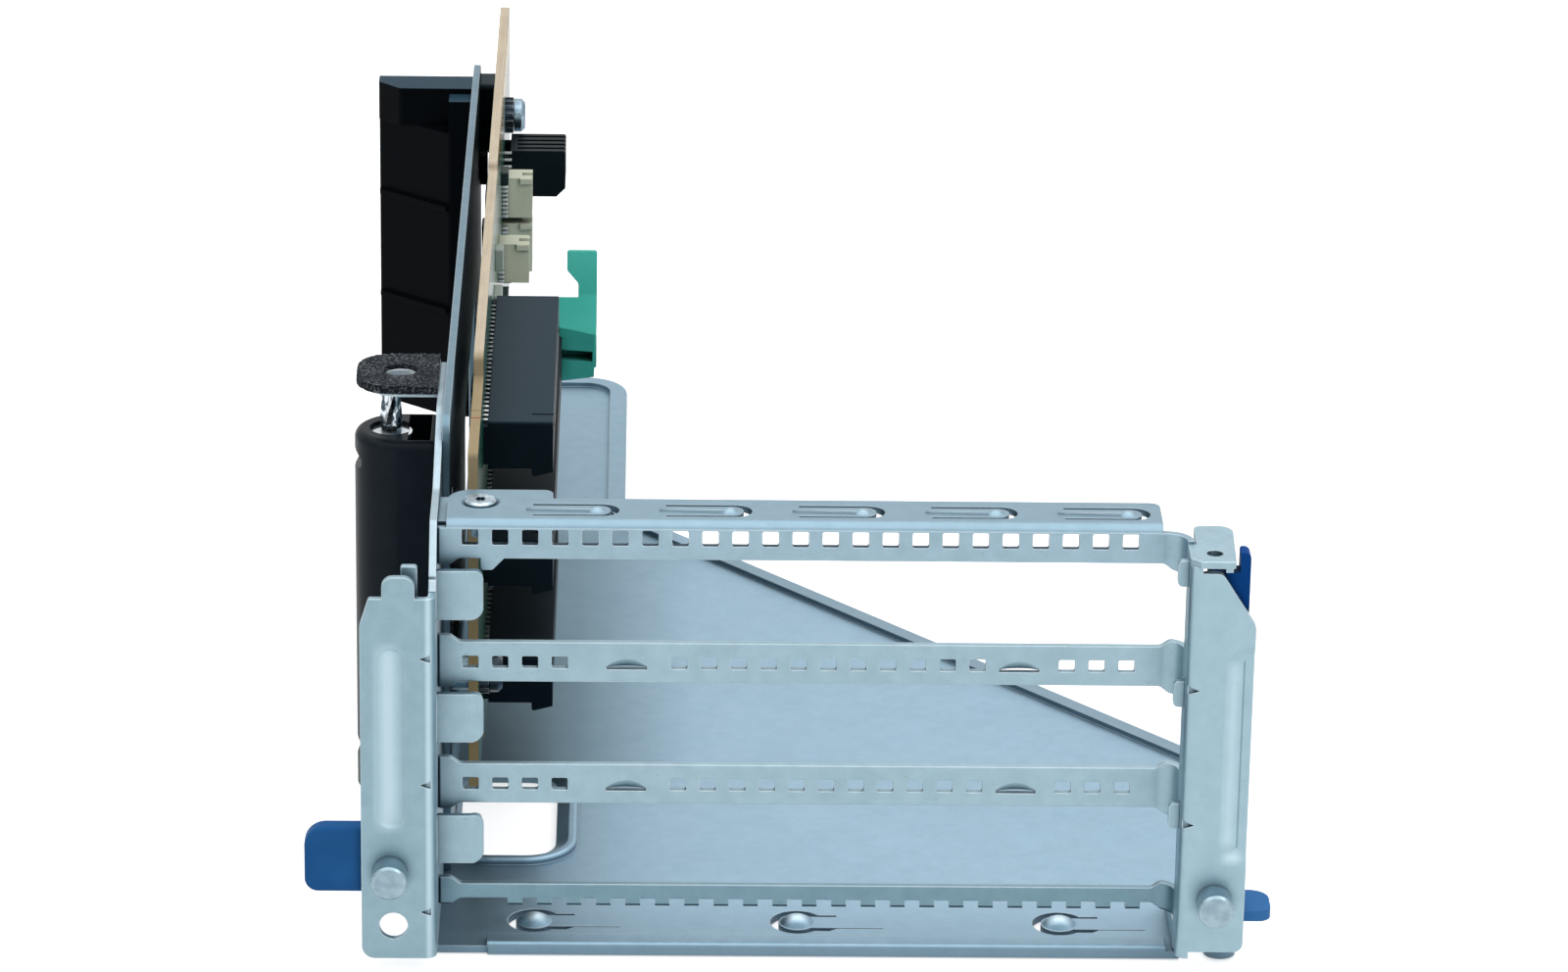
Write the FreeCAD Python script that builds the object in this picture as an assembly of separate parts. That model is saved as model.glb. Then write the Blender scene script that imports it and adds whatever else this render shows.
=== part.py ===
import FreeCAD, Part
import math
import os

Vector = FreeCAD.Vector

# A riser card in its slot cage, standing on the cage's cover plate. While it is built, X = 0 is the
# inner face of the left wall, Y = 0 the front face of the rails and Z = 0 the underside of the plate.

# Slots and sheet
slot_pitch = 20.32
cage_width = 114.2
sheet = 1.1
base_sheet = 1.2
ledge_bend = 3.0
post_depth = 10.0
post_bend = 1.6
fit_clearance = 0.05
sheet_corner = 1.5
small_round = 0.4

# Rails
rail_height = 6.5
rail_flare = 1.05
rail_flare_flat = 1.9
rail_flare_length = 3.3
rail_flare_round = 1.3
rail_end_chamfer = 0.35
bottom_rail_top = 10.25
bottom_rail_height = 2.4
tooth_height = 1.15
tooth_skip_count = 1
top_rail_height = 6.0
hole_first = 5.0
hole_pitch = 4.58
hole_end_margin = 7.0
hole_width = 2.5
hole_height = 2.0
hole_round = 0.3
hole_drop = 3.3
top_hole_height = 2.5
top_hole_lift = 2.2
dimple_first = 29.0
dimple_end_margin = 24.9
dimple_hole_gap = 1.2
dimple_length = 7.0
dimple_rise = 0.75
dimple_height = 1.4
dimple_slit = 0.4
dimple_wall = 0.6
notch_width = 2.3

# Flange of the top rail
flange_depth = 10.0
flange_start = 1.4
flange_end_margin = 3.5
flange_end_round = 1.6
flange_tab_depth = 13.5
flange_tab_end = 17.5
flange_tab_left_round = 4.0
finger_end_margin = 1.2
finger_tip = 27.7
finger_length = 13.2
finger_middle = 5.2
finger_width = 3.6
finger_far_slit = 0.75
finger_near_slit = 0.55
finger_tip_gap = 1.3
finger_tip_round = 1.75
finger_bump_radius = 1.3
finger_bump_rise = 0.5
finger_bump_set_back = 3.4
finger_rib_length = 10.8
finger_rib_width = 0.9
finger_rib_rise = 0.25
lug_start = 6.6
lug_width = 1.8
lug_drop = 1.9

# Screw in the top rail
rail_screw_x = 6.4
rail_screw_y = 8.5
rail_screw_radius = 1.5
rail_screw_head_radius = 2.4
rail_screw_head = 0.9
rail_screw_length = 5.0
rail_dish_radius = 3.0
rail_dish_depth = 0.45
lobe_share = 0.36
lobe_count = 6
screw_tab_width = 12.5
screw_tab_front = 3.0
screw_tab_depth = 10.0

# Left wall
wall_front = 7.0
wall_back = 55.2
wall_top = 77.0
wall_slope_start = 13.5
wall_slope_end = 33.0
wall_slope_round = 4.0
wall_front_top = 62.0
wall_foot = 2.1
clip_reach = 7.1
clip_height = 8.0
clip_lift = 2.0
clip_stand_off = 2.1
clip_curl_length = 1.8
clip_curl = 0.8
clip_round = 1.7
clip_window_depth = 2.6
hook_tab_left = 5.3
hook_tab_right = 2.8
hook_tab_front = 6.9
hook_tab_bottom = 56.0
hook_tab_shoulder = 60.5
hook_tab_top = 66.0
foam_tab_reach = 13.8
foam_tab_front = 40.0
foam_tab_depth = 14.4
foam_tab_round = 7.1
foam_hole_x = 7.2
foam_hole_y = 47.2
foam_hole_radius = 2.6
foam_thickness = 0.9
foam_hole_margin = 0.4

# Left post
post_left_width = 11.5
post_left_shoulder = 57.4
post_left_top = 61.9
post_left_round = 2.0
lug_low = 3.1
lug_high = 8.1
lug_top = 65.4
lug_round = 1.7
post_slope = 1.4
screw_hole_x = 6.6
screw_hole_z = 7.6
screw_hole_radius = 2.2
channel_x = 6.9
channel_width = 4.6
channel_bottom = 24.0
channel_top = 54.0
emboss_depth = 0.7
bend_dent_length = 1.7
bend_dent_height = 1.3
bend_dent_depth = 0.8
left_dent_rows = (9.9, 31.2, 52.1)
right_dent_rows = (25.4, 47.8)

# Right post
post_right_width = 10.3
post_right_foot = 4.0
post_right_shoulder_drop = 8.6
post_right_top_gap = 1.0
post_right_flat = 4.9
post_recess_width = 2.4
post_recess_bottom = 21.0
post_recess_drop = 4.9
post_recess_slope = 1.6
ledge_foot_back = 12.0
ledge_foot_top = 5.4
ledge_tip = 2.9
nub_reach = 1.7
nub_height = 4.2
nub_drop = 4.8
nub_stand = 6.1
nub_round = 0.8
spring_tab_drop = 2.61
spring_tab_width = 6.8
spring_tab_flare = 0.6
spring_tab_back = 4.5
spring_tab_back_round = 2.4
spring_tab_inner_round = 1.4
spring_tab_front = 10.5
spring_lip_width = 1.1
spring_lip_depth = 0.8
spring_lip_drop = 0.63
spring_hole_x = 3.8
spring_hole_y = -6.9
spring_hole_radius = 1.28

# Locating studs
stud_radius = 2.75
stud_length = 4.4
stud_chamfer = 0.35
stud_shank = 2.0
stud_flange = 3.2
stud_flange_thickness = 0.9
left_stud_x = 7.1
left_stud_z = 16.6
pivot_x = 5.6
pivot_z = 12.7

# Lift tab behind the left post
lift_reach = 20.3
lift_inner = 2.2
lift_bottom = 12.7
lift_top = 23.6
lift_thickness = 3.2
lift_top_round = 3.3
lift_bottom_round = 2.1
lift_edge_round = 0.7
lift_inner_round = 1.0
lift_dish_radius = 3.5
lift_dish_depth = 0.5

# Retainer lever behind the right post
lever_gap = 0.2
lever_thickness = 3.0
lever_bore_clearance = 0.06
lever_inner = 3.4
lever_outer = 9.2
lever_hub_radius = 4.2
lever_top_gap = 1.3
lever_pad_rise = 1.9
lever_pad_round = 0.95
lever_grip_width = 4.4
lever_grip_reach = 0.6
lever_grip_round = 0.8
lever_rib_depth = 1.4
heel_reach = 14.7
heel_top = 10.4
heel_thickness = 1.7
heel_depth = 8.0
heel_front_round = 2.0
heel_back_round = 3.0

# Base plate
base_front = 4.0
base_set_back = 0.6
base_right_margin = 10.0
base_back = 250.0
base_corner = 1.0
base_back_corner = 3.0
arm_width = 28.0
arm_start = 180.0
arm_round = 8.0
right_side_end = 72.0
ear_width = 5.0
ear_round = 2.45
hem_sheet = 0.9
hem_width = 3.2
hem_round = 0.6
hem_left = 8.0
hem_near = 14.0
front_hem_start = 7.6
front_hem_end_margin = 1.0
front_hem_width = 3.4
hand_left = 2.2
hand_right = 17.7
hand_front = 30.2
hand_back = 62.0
hand_round = 5.0
hand_rim = 3.4
hand_rim_height = 1.1
hand_rim_slope = 2.0
tongue_count = 3
tongue_first = 14.8
tongue_pitch = 41.15
tongue_y = 6.0
tongue_head = 2.9
tongue_ring = 1.3
tongue_neck = 4.0
tongue_near_length = 13.4
tongue_near_wide = 5.0
tongue_near_slit = 1.2
tongue_near_tail = 0.3
tongue_far_length = 6.2
tongue_far_slit = 0.6
tongue_dome_radius = 2.7
tongue_dome_rise = 1.2

# Side plate
plate_front = 24.8
plate_back = 209.0
plate_top = 78.0
plate_round = 2.5
plate_window_front = 106.0
plate_window_back = 170.0
plate_window_bottom = 9.0
plate_window_top = 48.0
plate_window_round = 4.0
rivet_radius = 1.5
rivet_head_radius = 2.3
rivet_head = 0.8
rivet_y = 36.0
rivet_rows = (12.0, 38.0, 60.0)

# Riser board
board_left = 4.2
board_thickness = 1.6
board_front = 17.8
board_back = 236.2
board_bottom = 13.0
board_front_bottom = 17.5
board_front_top = 75.0
board_step = 50.5
board_top = 79.0
edge_start = 143.2
edge_top = 80.75
board_round = 3.0
board_small_round = 0.8
board_low_round = 2.0
board_corner = 18.0

# Board fixings: far screw in the block, two more on standoffs, as (y, z)
far_screw = (206.0, 68.8)
standoff_places = ((28.0, 34.0), (180.0, 30.0))
board_screw_radius = 1.5
board_screw_head_radius = 3.05
board_screw_head = 2.0
board_recess_width = 0.8
board_recess_share = 0.6
washer_radius = 3.3
washer_thickness = 1.5
standoff_radius = 2.75
spacer_front = 201.0
spacer_bottom = 63.0
spacer_top = 76.0
spacer_round = 1.0
spacer_notch = 2.6

# Slot connectors
connector_front = 48.7
short_length = 60.6
long_length = 96.6
connector_width = 8.0
connector_gap = 0.7
connector_height = 10.4
connector_drop = 0.2
connector_round = 0.5
card_slot_width = 1.9
card_slot_depth = 8.5
card_slot_wall = 2.6
card_key_place = 14.5
card_key_width = 1.7
card_lead = 0.8
hook_length = 3.4
hook_drop = 1.3
hook_rise = 0.9
hook_depth = 3.0
foot_length = 2.0
foot_share = 0.8
end_groove = 0.5
end_groove_place = 3.5

# Latch on the long connector
latch_pin_radius = 1.0
latch_clearance = 0.05
latch_side_gap = 0.3
latch_pivot_x = 2.7
latch_pivot_y = 3.8
latch_cheek_length = 7.0
latch_cheek_height = 5.5
latch_cheek_round = 2.4
latch_cheek_foot_round = 1.0
latch_half = 2.3
latch_hub_radius = 2.4
latch_front = 0.4
latch_front_slant = 1.15
latch_depth = 4.8
latch_reach = 16.4
latch_head_start = 9.8
latch_head_bottom = 4.9
latch_head_top = 4.1
latch_ramp_rise = 5.4
latch_ramp_run = 6.2
latch_ramp_round = 0.4
latch_corner = 0.8
latch_lower_slant = 1.2
latch_side_slant = 0.4
latch_finger_top = 16.0
latch_finger_thickness = 2.0
latch_finger_lean = 3.8
latch_finger_flat = 0.9
latch_neck_width = 3.25
latch_finger_width = 5.25
latch_finger_bottom = 13.1
latch_finger_round = 0.8
latch_slot_end = 0.7
latch_slot_back = 1.2

# Power header and signal sockets
header_front = 192.0
header_depth = 10.0
header_bottom = 58.0
header_height = 8.6
header_reach = 11.0
header_foot = 1.1
header_wall = 1.2
header_cells = 4
header_cell_depth = 7.0
header_groove = 0.5
header_chamfer = 1.6
socket_reach = 5.3
socket_depth = 5.0
socket_wall = 0.8
socket_cavity = 3.6
socket_notch_start = 1.75
socket_notch_width = 1.5
socket_lip_width = 2.2
socket_lip_depth = 0.5
socket_lip_height = 1.0
socket_rows = ((178.0, 58.7, 7.4), (178.0, 48.6, 9.0), (150.0, 56.3, 7.1))

# Parts soldered flat on the board, as (y, z, length, height)
component_rise = 1.3
component_round = 0.3
front_parts = (
    (30.0, 52.0, 4.0, 6.0),
    (38.0, 54.0, 2.0, 3.0),
    (118.0, 62.0, 6.0, 3.2),
    (122.0, 52.0, 3.0, 6.0),
    (128.0, 66.0, 3.2, 4.0),
    (160.0, 40.0, 9.0, 9.0),
    (190.0, 42.0, 5.0, 3.0),
    (168.0, 68.0, 4.0, 2.4),
)
back_rise = 2.2
back_parts = (
    (62.0, 60.0, 7.0, 9.0),
    (84.0, 66.0, 10.0, 7.0),
    (106.0, 58.0, 8.0, 12.0),
    (128.0, 64.0, 6.0, 10.0),
    (150.0, 60.0, 9.0, 12.0),
)

# Air baffle outside the side plate
baffle_reach = 16.8
baffle_back = 200.0
baffle_front = 188.0
baffle_flat = 4.0
baffle_bottom = 17.0
baffle_cap = 7.0
baffle_cap_front = 192.6
baffle_cap_corner = 3.9
baffle_edge = 1.5
baffle_edge_round = 0.6
baffle_front_round = 1.0
baffle_wall = 1.5
baffle_rib_rows = (37.0, 56.5)
baffle_rib = 0.9
baffle_ledge_drop = 1.0
hook_place_y = 197.0
hook_place_z = 62.15
hook_neck_width = 3.0
hook_neck_height = 4.4
hook_head_width = 5.0
hook_head_height = 6.5
hook_head_thickness = 1.4
hook_head_round = 1.4

# Driver stored in its holder on the left wall
holder_reach = 14.6
holder_front = 40.4
holder_depth = 14.2
holder_round = 7.0
holder_wall_round = 0.8
holder_bottom = 7.0
holder_top = 68.0
holder_pocket_width = 3.6
holder_pocket_wall = 1.3
holder_pocket_depth = 9.0
holder_groove = 1.15
holder_groove_flat = 0.6
holder_groove_rows = (13.5, 63.3)
holder_rim_drop = 1.4
bit_place = 8.8
bit_radius = 1.75
bit_valley = 1.25
bit_twist = 56.0
bit_section_count = 5
bit_shank_radius = 1.4
bit_sunk = 8.0
bit_gap = 0.3
bit_ring_radius = 1.6
bit_ring_height = 1.3
collar_radius = 3.35
collar_height = 0.8
collar_sunk = 1.4

# Values worked out from the sizes above
lower_rail_top = bottom_rail_top + slot_pitch
upper_rail_top = lower_rail_top + slot_pitch
slot_gap = slot_pitch - rail_height
top_rail_bottom = upper_rail_top + slot_gap
top_rail_top = top_rail_bottom + top_rail_height
flange_bottom = top_rail_top - sheet
spring_tab_bottom = top_rail_top - spring_tab_drop
post_right_top = spring_tab_bottom - post_right_top_gap
post_right_shoulder = post_right_top - post_right_shoulder_drop
post_recess_top = post_right_shoulder - post_recess_drop
lever_top = spring_tab_bottom - lever_top_gap
lever_pad_top = spring_tab_bottom + lever_pad_rise
hole_count = int((cage_width - hole_end_margin - hole_first) / hole_pitch) + 1
flange_end = cage_width - flange_end_margin
finger_count = int((flange_end - finger_end_margin - finger_tip) / slot_pitch) + 1
dimple_places = (dimple_first, cage_width - dimple_end_margin)
dimple_radius = (dimple_length ** 2 / 4 + dimple_rise ** 2) / (2 * dimple_rise)
channel_radius = (channel_width ** 2 / 4 + emboss_depth ** 2) / (2 * emboss_depth)
slot_floors = (bottom_rail_top, lower_rail_top, upper_rail_top)
post_front = -post_depth
post_rear = post_front + sheet
ledge_outer = cage_width + sheet
post_right = cage_width + post_right_width
base_right = cage_width + base_right_margin
hem_top = base_sheet + hem_sheet
board_right = board_left + board_thickness
housing_left = board_right + connector_gap
housing_right = housing_left + connector_height
lever_front = post_rear + lever_gap
lever_rear = lever_front + lever_thickness
pivot = Vector(cage_width + pivot_x, 0, pivot_z)
long_end = connector_front + long_length
latch_axis = Vector(housing_left + latch_pivot_x, long_end + latch_pivot_y, 0)
latch_level = lower_rail_top + slot_gap - connector_drop
holder_middle = holder_front + holder_depth / 2
bit_x = -bit_place
origin = Vector((lift_reach - cage_width - heel_reach) / 2, (post_depth + stud_length - base_back) / 2, 0)

right = Vector(1, 0, 0)
back = Vector(0, 1, 0)
up = Vector(0, 0, 1)


def block(x_low, x_high, y_low, y_high, z_low, z_high):
    """Box between two corners."""
    corner = Vector(x_low, y_low, z_low)
    return Part.makeBox(x_high - x_low, y_high - y_low, z_high - z_low, corner)


def rod(radius, start, direction, length):
    """Round bar from a start point."""
    return Part.makeCylinder(radius, length, start, direction)


def joined(shapes):
    """One solid from touching shapes."""
    whole = shapes[0].multiFuse(shapes[1:])
    return whole.removeSplitter()


def without(shape, cuts):
    """Shape less every one of the cuts."""
    return shape.cut(Part.makeCompound(cuts))


def outline(points, place):
    """Closed wire through (a, b, corner radius) points, with tangent arcs at the rounded corners."""
    starts, ends, arcs = [], [], []
    for index, (a, b, radius) in enumerate(points):
        here = Vector(a, b, 0)
        before = Vector(*points[index - 1][:2], 0) - here
        ahead = Vector(*points[(index + 1) % len(points)][:2], 0) - here
        if radius <= 0:
            starts.append(here)
            ends.append(here)
            arcs.append(None)
            continue
        before.normalize()
        ahead.normalize()
        half = before.getAngle(ahead) / 2
        tangent = radius / math.tan(half)
        middle = before + ahead
        middle.normalize()
        starts.append(here + before * tangent)
        ends.append(here + ahead * tangent)
        arcs.append(here + middle * (radius / math.sin(half) - radius))
    edges = []
    for index, arc in enumerate(arcs):
        if arc is not None:
            corner = [place(point) for point in (starts[index], arc, ends[index])]
            edges.append(Part.Arc(*corner).toShape())
        following = starts[(index + 1) % len(points)]
        if following.distanceToPoint(ends[index]) > 1e-6:
            edges.append(Part.LineSegment(place(ends[index]), place(following)).toShape())
    return Part.Wire(edges)


def prism(points, plane, low, high):
    """Solid from a rounded outline drawn in XY, XZ or YZ and pushed along the third axis."""
    places = {
        "XY": (lambda p: Vector(p.x, p.y, low), Vector(0, 0, high - low)),
        "XZ": (lambda p: Vector(p.x, low, p.y), Vector(0, high - low, 0)),
        "YZ": (lambda p: Vector(low, p.x, p.y), Vector(high - low, 0, 0)),
    }
    place, push = places[plane]
    return Part.Face(outline(points, place)).extrude(push)


def rounded_box(a_low, a_high, b_low, b_high, radius):
    """Outline points of a rectangle with equal corner radii."""
    return [
        (a_low, b_low, radius),
        (a_high, b_low, radius),
        (a_high, b_high, radius),
        (a_low, b_high, radius),
    ]


def inset(points, distance):
    """Outline moved inwards; the points run clockwise seen along the push axis from above."""
    moved = []
    for index, (a, b, radius) in enumerate(points):
        here = Vector(a, b, 0)
        before = here - Vector(*points[index - 1][:2], 0)
        ahead = Vector(*points[(index + 1) % len(points)][:2], 0) - here
        before.normalize()
        ahead.normalize()
        normal_before = Vector(before.y, -before.x, 0)
        normal_ahead = Vector(ahead.y, -ahead.x, 0)
        shift = (normal_before + normal_ahead) * (distance / (1 + normal_before.dot(normal_ahead)))
        turn = before.cross(ahead).z
        new_radius = 0
        if radius > 0:
            new_radius = max(radius + math.copysign(distance, turn), 0)
        moved.append((a + shift.x, b + shift.y, new_radius))
    return moved


def hole_places():
    """X of each square hole along a rail."""
    return [hole_first + index * hole_pitch for index in range(hole_count)]


def rail_hole(x, low, high):
    """Cut for one hole through a rail, with softened corners."""
    half = hole_width / 2
    return prism(rounded_box(x - half, x + half, low, high, hole_round), "XZ", -sheet, 2 * sheet)


def rail_band(z_low, z_high, flare_low, flare_high):
    """Flat rail whose right end bends forward into the ledge and whose ends widen in an S-curve."""
    outer = ledge_outer
    plan = [
        (0, rail_end_chamfer, 0),
        (rail_end_chamfer, 0, 0),
        (cage_width, 0, ledge_bend),
        (cage_width, -ledge_bend, 0),
        (outer, -ledge_bend, 0),
        (outer, sheet, ledge_bend + sheet),
        (0, sheet, 0),
    ]
    low, high = z_low - flare_low, z_high + flare_high
    low_round = rail_flare_round if flare_low else 0
    high_round = rail_flare_round if flare_high else 0
    flat, slope = rail_flare_flat, rail_flare_length
    front = [
        (0, low, 0),
        (flat, low, low_round),
        (slope, z_low, low_round),
        (cage_width - slope, z_low, low_round),
        (cage_width - flat, low, low_round),
        (outer, low, 0),
        (outer, high, 0),
        (cage_width - flat, high, high_round),
        (cage_width - slope, z_high, high_round),
        (slope, z_high, high_round),
        (flat, high, high_round),
        (0, high, 0),
    ]
    return prism(plan, "XY", low, high).common(prism(front, "XZ", -ledge_bend - sheet, 2 * sheet))


def dimple(x, low, radius):
    """Leaning bar that presses a vent into a rail, deepest at its lower edge and gone at its top."""
    lean = Vector(0, -dimple_rise, dimple_height).normalize()
    foot = Vector(x, dimple_rise - dimple_radius / lean.z, low) - lean * dimple_length
    bar = rod(radius, foot, lean, 3 * dimple_length)
    half = dimple_length / 2 + dimple_wall
    return bar.common(block(x - half, x + half, 0, 2 * sheet, low, low + dimple_height))


def slotted_rail(top):
    """Rail between two slots, with square holes and two pressed vents."""
    rail = rail_band(top - rail_height, top, rail_flare, rail_flare)
    middle = top - hole_drop
    low = middle - dimple_height / 2
    half = dimple_length / 2 - dimple_slit
    clear = (dimple_length + hole_width) / 2 + dimple_hole_gap
    cuts, bulges = [], []
    for x in hole_places():
        if min(abs(x - place) for place in dimple_places) > clear:
            cuts.append(rail_hole(x, middle - hole_height / 2, middle + hole_height / 2))
    for x in dimple_places:
        bulges.append(dimple(x, low, dimple_radius + dimple_wall))
        cuts.append(dimple(x, low, dimple_radius))
        cuts.append(block(x - half, x + half, -sheet, 2 * sheet, low - dimple_slit, low))
    return without(joined([rail] + bulges), cuts)


def make_bottom_rail():
    """Narrow rail above the base plate with teeth along its lower edge."""
    low = bottom_rail_top - bottom_rail_height
    half = (hole_pitch - notch_width) / 2
    pieces = [rail_band(low, bottom_rail_top, rail_flare, rail_flare)]
    for x in hole_places()[tooth_skip_count:]:
        middle = x + hole_pitch / 2
        pieces.append(block(middle - half, middle + half, 0, sheet, low - tooth_height, low))
    return joined(pieces)


def finger_slit_cut(tip):
    """U-shaped slit that frees one spring finger of the flange, widest round the finger's tip."""
    near, far = finger_middle - finger_width / 2, finger_middle + finger_width / 2
    start = tip - finger_length
    end = tip - finger_tip_gap
    slit_shape = [
        (start, near - finger_near_slit, 0),
        (tip, near - finger_near_slit, finger_tip_round + finger_near_slit),
        (tip, far + finger_far_slit, finger_tip_round + finger_far_slit),
        (start, far + finger_far_slit, 0),
    ]
    finger_shape = [
        (start, near, 0),
        (end, near, finger_tip_round),
        (end, far, finger_tip_round),
        (start, far, 0),
    ]
    low, high = flange_bottom - sheet, top_rail_top + sheet
    return prism(slit_shape, "XY", low, high).cut(prism(finger_shape, "XY", low, high))


def cap_dome(x, y, z, radius, rise):
    """Low spherical bump on a level face."""
    ball = (radius ** 2 + rise ** 2) / (2 * rise)
    sphere = Part.makeSphere(ball, Vector(x, y, z + rise - ball))
    reach = 2 * radius
    return sphere.common(block(x - reach, x + reach, y - reach, y + reach, z, z + 2 * rise))


def finger_rib(tip):
    """Slender pressed rib that runs out to a point at the root of a spring finger."""
    end = tip - finger_bump_set_back
    start = end - finger_rib_length
    half = finger_rib_width / 2
    shape = [(start, finger_middle, 0), (end, finger_middle + half, 0), (end, finger_middle - half, 0)]
    return prism(shape, "XY", flange_bottom, top_rail_top + finger_rib_rise)


def make_top_rail():
    """Perforated angle over the top slot, with spring fingers in its flange."""
    section = [
        (0, top_rail_bottom, 0),
        (0, top_rail_top, post_bend),
        (flange_depth, top_rail_top, 0),
        (flange_depth, flange_bottom, 0),
        (sheet, flange_bottom, post_bend - sheet),
        (sheet, top_rail_bottom, 0),
    ]
    plan = [
        (flange_start, 0, 0),
        (flange_start, flange_tab_depth, flange_tab_left_round),
        (flange_tab_end, flange_tab_depth, sheet_corner),
        (flange_tab_end, flange_depth, sheet_corner),
        (flange_end, flange_depth, flange_end_round),
        (flange_end, 0, 0),
    ]
    angle = prism(section, "YZ", flange_start, flange_end)
    tab = block(flange_start, flange_tab_end, post_bend, flange_tab_depth, flange_bottom, top_rail_top)
    angle = joined([angle, tab]).common(prism(plan, "XY", top_rail_bottom, top_rail_top))
    band = rail_band(top_rail_bottom, flange_bottom, rail_flare, 0)
    lug_bottom = top_rail_bottom - lug_drop
    lug = prism([
        (lug_start, top_rail_bottom, 0),
        (lug_start, lug_bottom, small_round),
        (lug_start + lug_width, lug_bottom, small_round),
        (lug_start + 2 * lug_width, top_rail_bottom, 0),
    ], "XZ", 0, sheet)
    low = top_rail_bottom + top_hole_lift
    cuts = [rail_hole(x, low, low + top_hole_height) for x in hole_places()]
    raised = []
    for index in range(finger_count):
        tip = finger_tip + index * slot_pitch
        cuts.append(finger_slit_cut(tip))
        bump_x = tip - finger_bump_set_back
        raised.append(cap_dome(bump_x, finger_middle, top_rail_top, finger_bump_radius, finger_bump_rise))
        raised.append(finger_rib(tip))
    seat = Vector(rail_screw_x, rail_screw_y, flange_bottom - sheet)
    cuts.append(rod(rail_screw_radius + 2 * fit_clearance, seat, up, 4 * sheet))
    dish_foot = Vector(rail_screw_x, rail_screw_y, top_rail_top - rail_dish_depth)
    dish_seat = rail_screw_head_radius + fit_clearance
    cuts.append(Part.makeCone(dish_seat, rail_dish_radius, rail_dish_depth, dish_foot))
    return joined([without(joined([angle, band, lug]), cuts)] + raised)


def make_rail_screw():
    """Six-lobe screw that holds the rail's flange on the wall's tab."""
    seat = top_rail_top - rail_dish_depth
    foot = Vector(rail_screw_x, rail_screw_y, seat - rail_screw_length)
    shank = rod(rail_screw_radius, foot, up, rail_screw_length)
    head = rod(rail_screw_head_radius, Vector(rail_screw_x, rail_screw_y, seat), up, rail_screw_head)
    half_way = seat + rail_screw_head / 2
    rim = [edge for edge in head.Edges if edge.BoundBox.ZMin > half_way and len(edge.Vertexes) == 1]
    head = head.makeChamfer(rail_screw_head / 3, rim)
    floor = Vector(rail_screw_x, rail_screw_y, half_way - rail_screw_head / 4)
    recess = six_lobes(floor, rail_screw_radius / 2, rail_screw_head)
    return joined([shank, head]).cut(recess)


def six_lobes(foot, radius, height):
    """Upright six-lobe bar."""
    bars = [rod(radius, foot, up, height)]
    for index in range(lobe_count):
        angle = index * 2 * math.pi / lobe_count
        offset = Vector(radius * math.cos(angle), radius * math.sin(angle), 0)
        bars.append(rod(radius * lobe_share, foot + offset, up, height))
    return joined(bars)


def clip_middles():
    """Height of each tongue clip, one in every slot."""
    return [floor + slot_gap / 2 + clip_lift for floor in slot_floors]


def make_left_wall():
    """Upright flange of the cage, with a window behind each tongue clip."""
    base_edge = -base_front
    wall = prism([
        (-wall_front, wall_foot, 0),
        (base_edge, wall_foot, 0),
        (base_edge, base_sheet, 0),
        (wall_back, base_sheet, 0),
        (wall_back, wall_top, plate_round),
        (wall_slope_end, wall_top, wall_slope_round),
        (wall_slope_start, top_rail_top, wall_slope_round),
        (0, top_rail_top, sheet_corner),
        (-wall_front, wall_front_top, 0),
    ], "YZ", -sheet, 0)
    window_back = -clip_stand_off - sheet
    window_front = window_back - clip_window_depth
    half = clip_height / 2
    cuts = [block(-2 * sheet, sheet, window_front, window_back, middle - half, middle + half)
            for middle in clip_middles()]
    for z in rivet_rows:
        cuts.append(rod(rivet_radius, Vector(-2 * sheet, rivet_y, z), right, 4 * sheet))
    return without(wall, cuts)


def make_screw_tab():
    """Tab bent from the left wall under the top rail's screw."""
    tab_back = screw_tab_front + screw_tab_depth
    tab = prism([
        (0, screw_tab_front, 0),
        (screw_tab_width, screw_tab_front, sheet_corner),
        (screw_tab_width, tab_back, sheet_corner),
        (0, tab_back, 0),
    ], "XY", flange_bottom - sheet, flange_bottom)
    start = Vector(rail_screw_x, rail_screw_y, flange_bottom - 2 * sheet)
    return tab.cut(rod(rail_screw_radius + fit_clearance, start, up, 3 * sheet))


def make_hook_tab():
    """Narrow tab of the left wall that rises behind the left post's lug."""
    tab = prism([
        (-hook_tab_left, hook_tab_bottom, small_round),
        (-hook_tab_left, hook_tab_top, small_round),
        (-hook_tab_right, hook_tab_top, small_round),
        (-hook_tab_right, hook_tab_shoulder, small_round),
        (-sheet, hook_tab_shoulder, 0),
        (-sheet, hook_tab_bottom, 0),
    ], "XZ", -hook_tab_front, -hook_tab_front + sheet)
    return tab


def foam_outline():
    """Plan of the tab under the foam pad: square at the wall, round at its free end."""
    tab_back = foam_tab_front + foam_tab_depth
    return [
        (-sheet, foam_tab_front, 0),
        (-foam_tab_reach, foam_tab_front, foam_tab_round),
        (-foam_tab_reach, tab_back, foam_tab_round),
        (-sheet, tab_back, 0),
    ]


def make_foam_tab():
    """Tab bent outwards from the top of the left wall."""
    tab = prism(foam_outline(), "XY", wall_top - sheet, wall_top)
    start = Vector(-foam_hole_x, foam_hole_y, wall_top - 2 * sheet)
    return tab.cut(rod(foam_hole_radius, start, up, 3 * sheet))


def make_foam_pad():
    """Foam gasket glued on the wall's tab."""
    pad = prism(foam_outline(), "XY", wall_top, wall_top + foam_thickness)
    start = Vector(-foam_hole_x, foam_hole_y, wall_top - sheet)
    return pad.cut(rod(foam_hole_radius + foam_hole_margin, start, up, 2 * sheet + foam_thickness))


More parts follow.
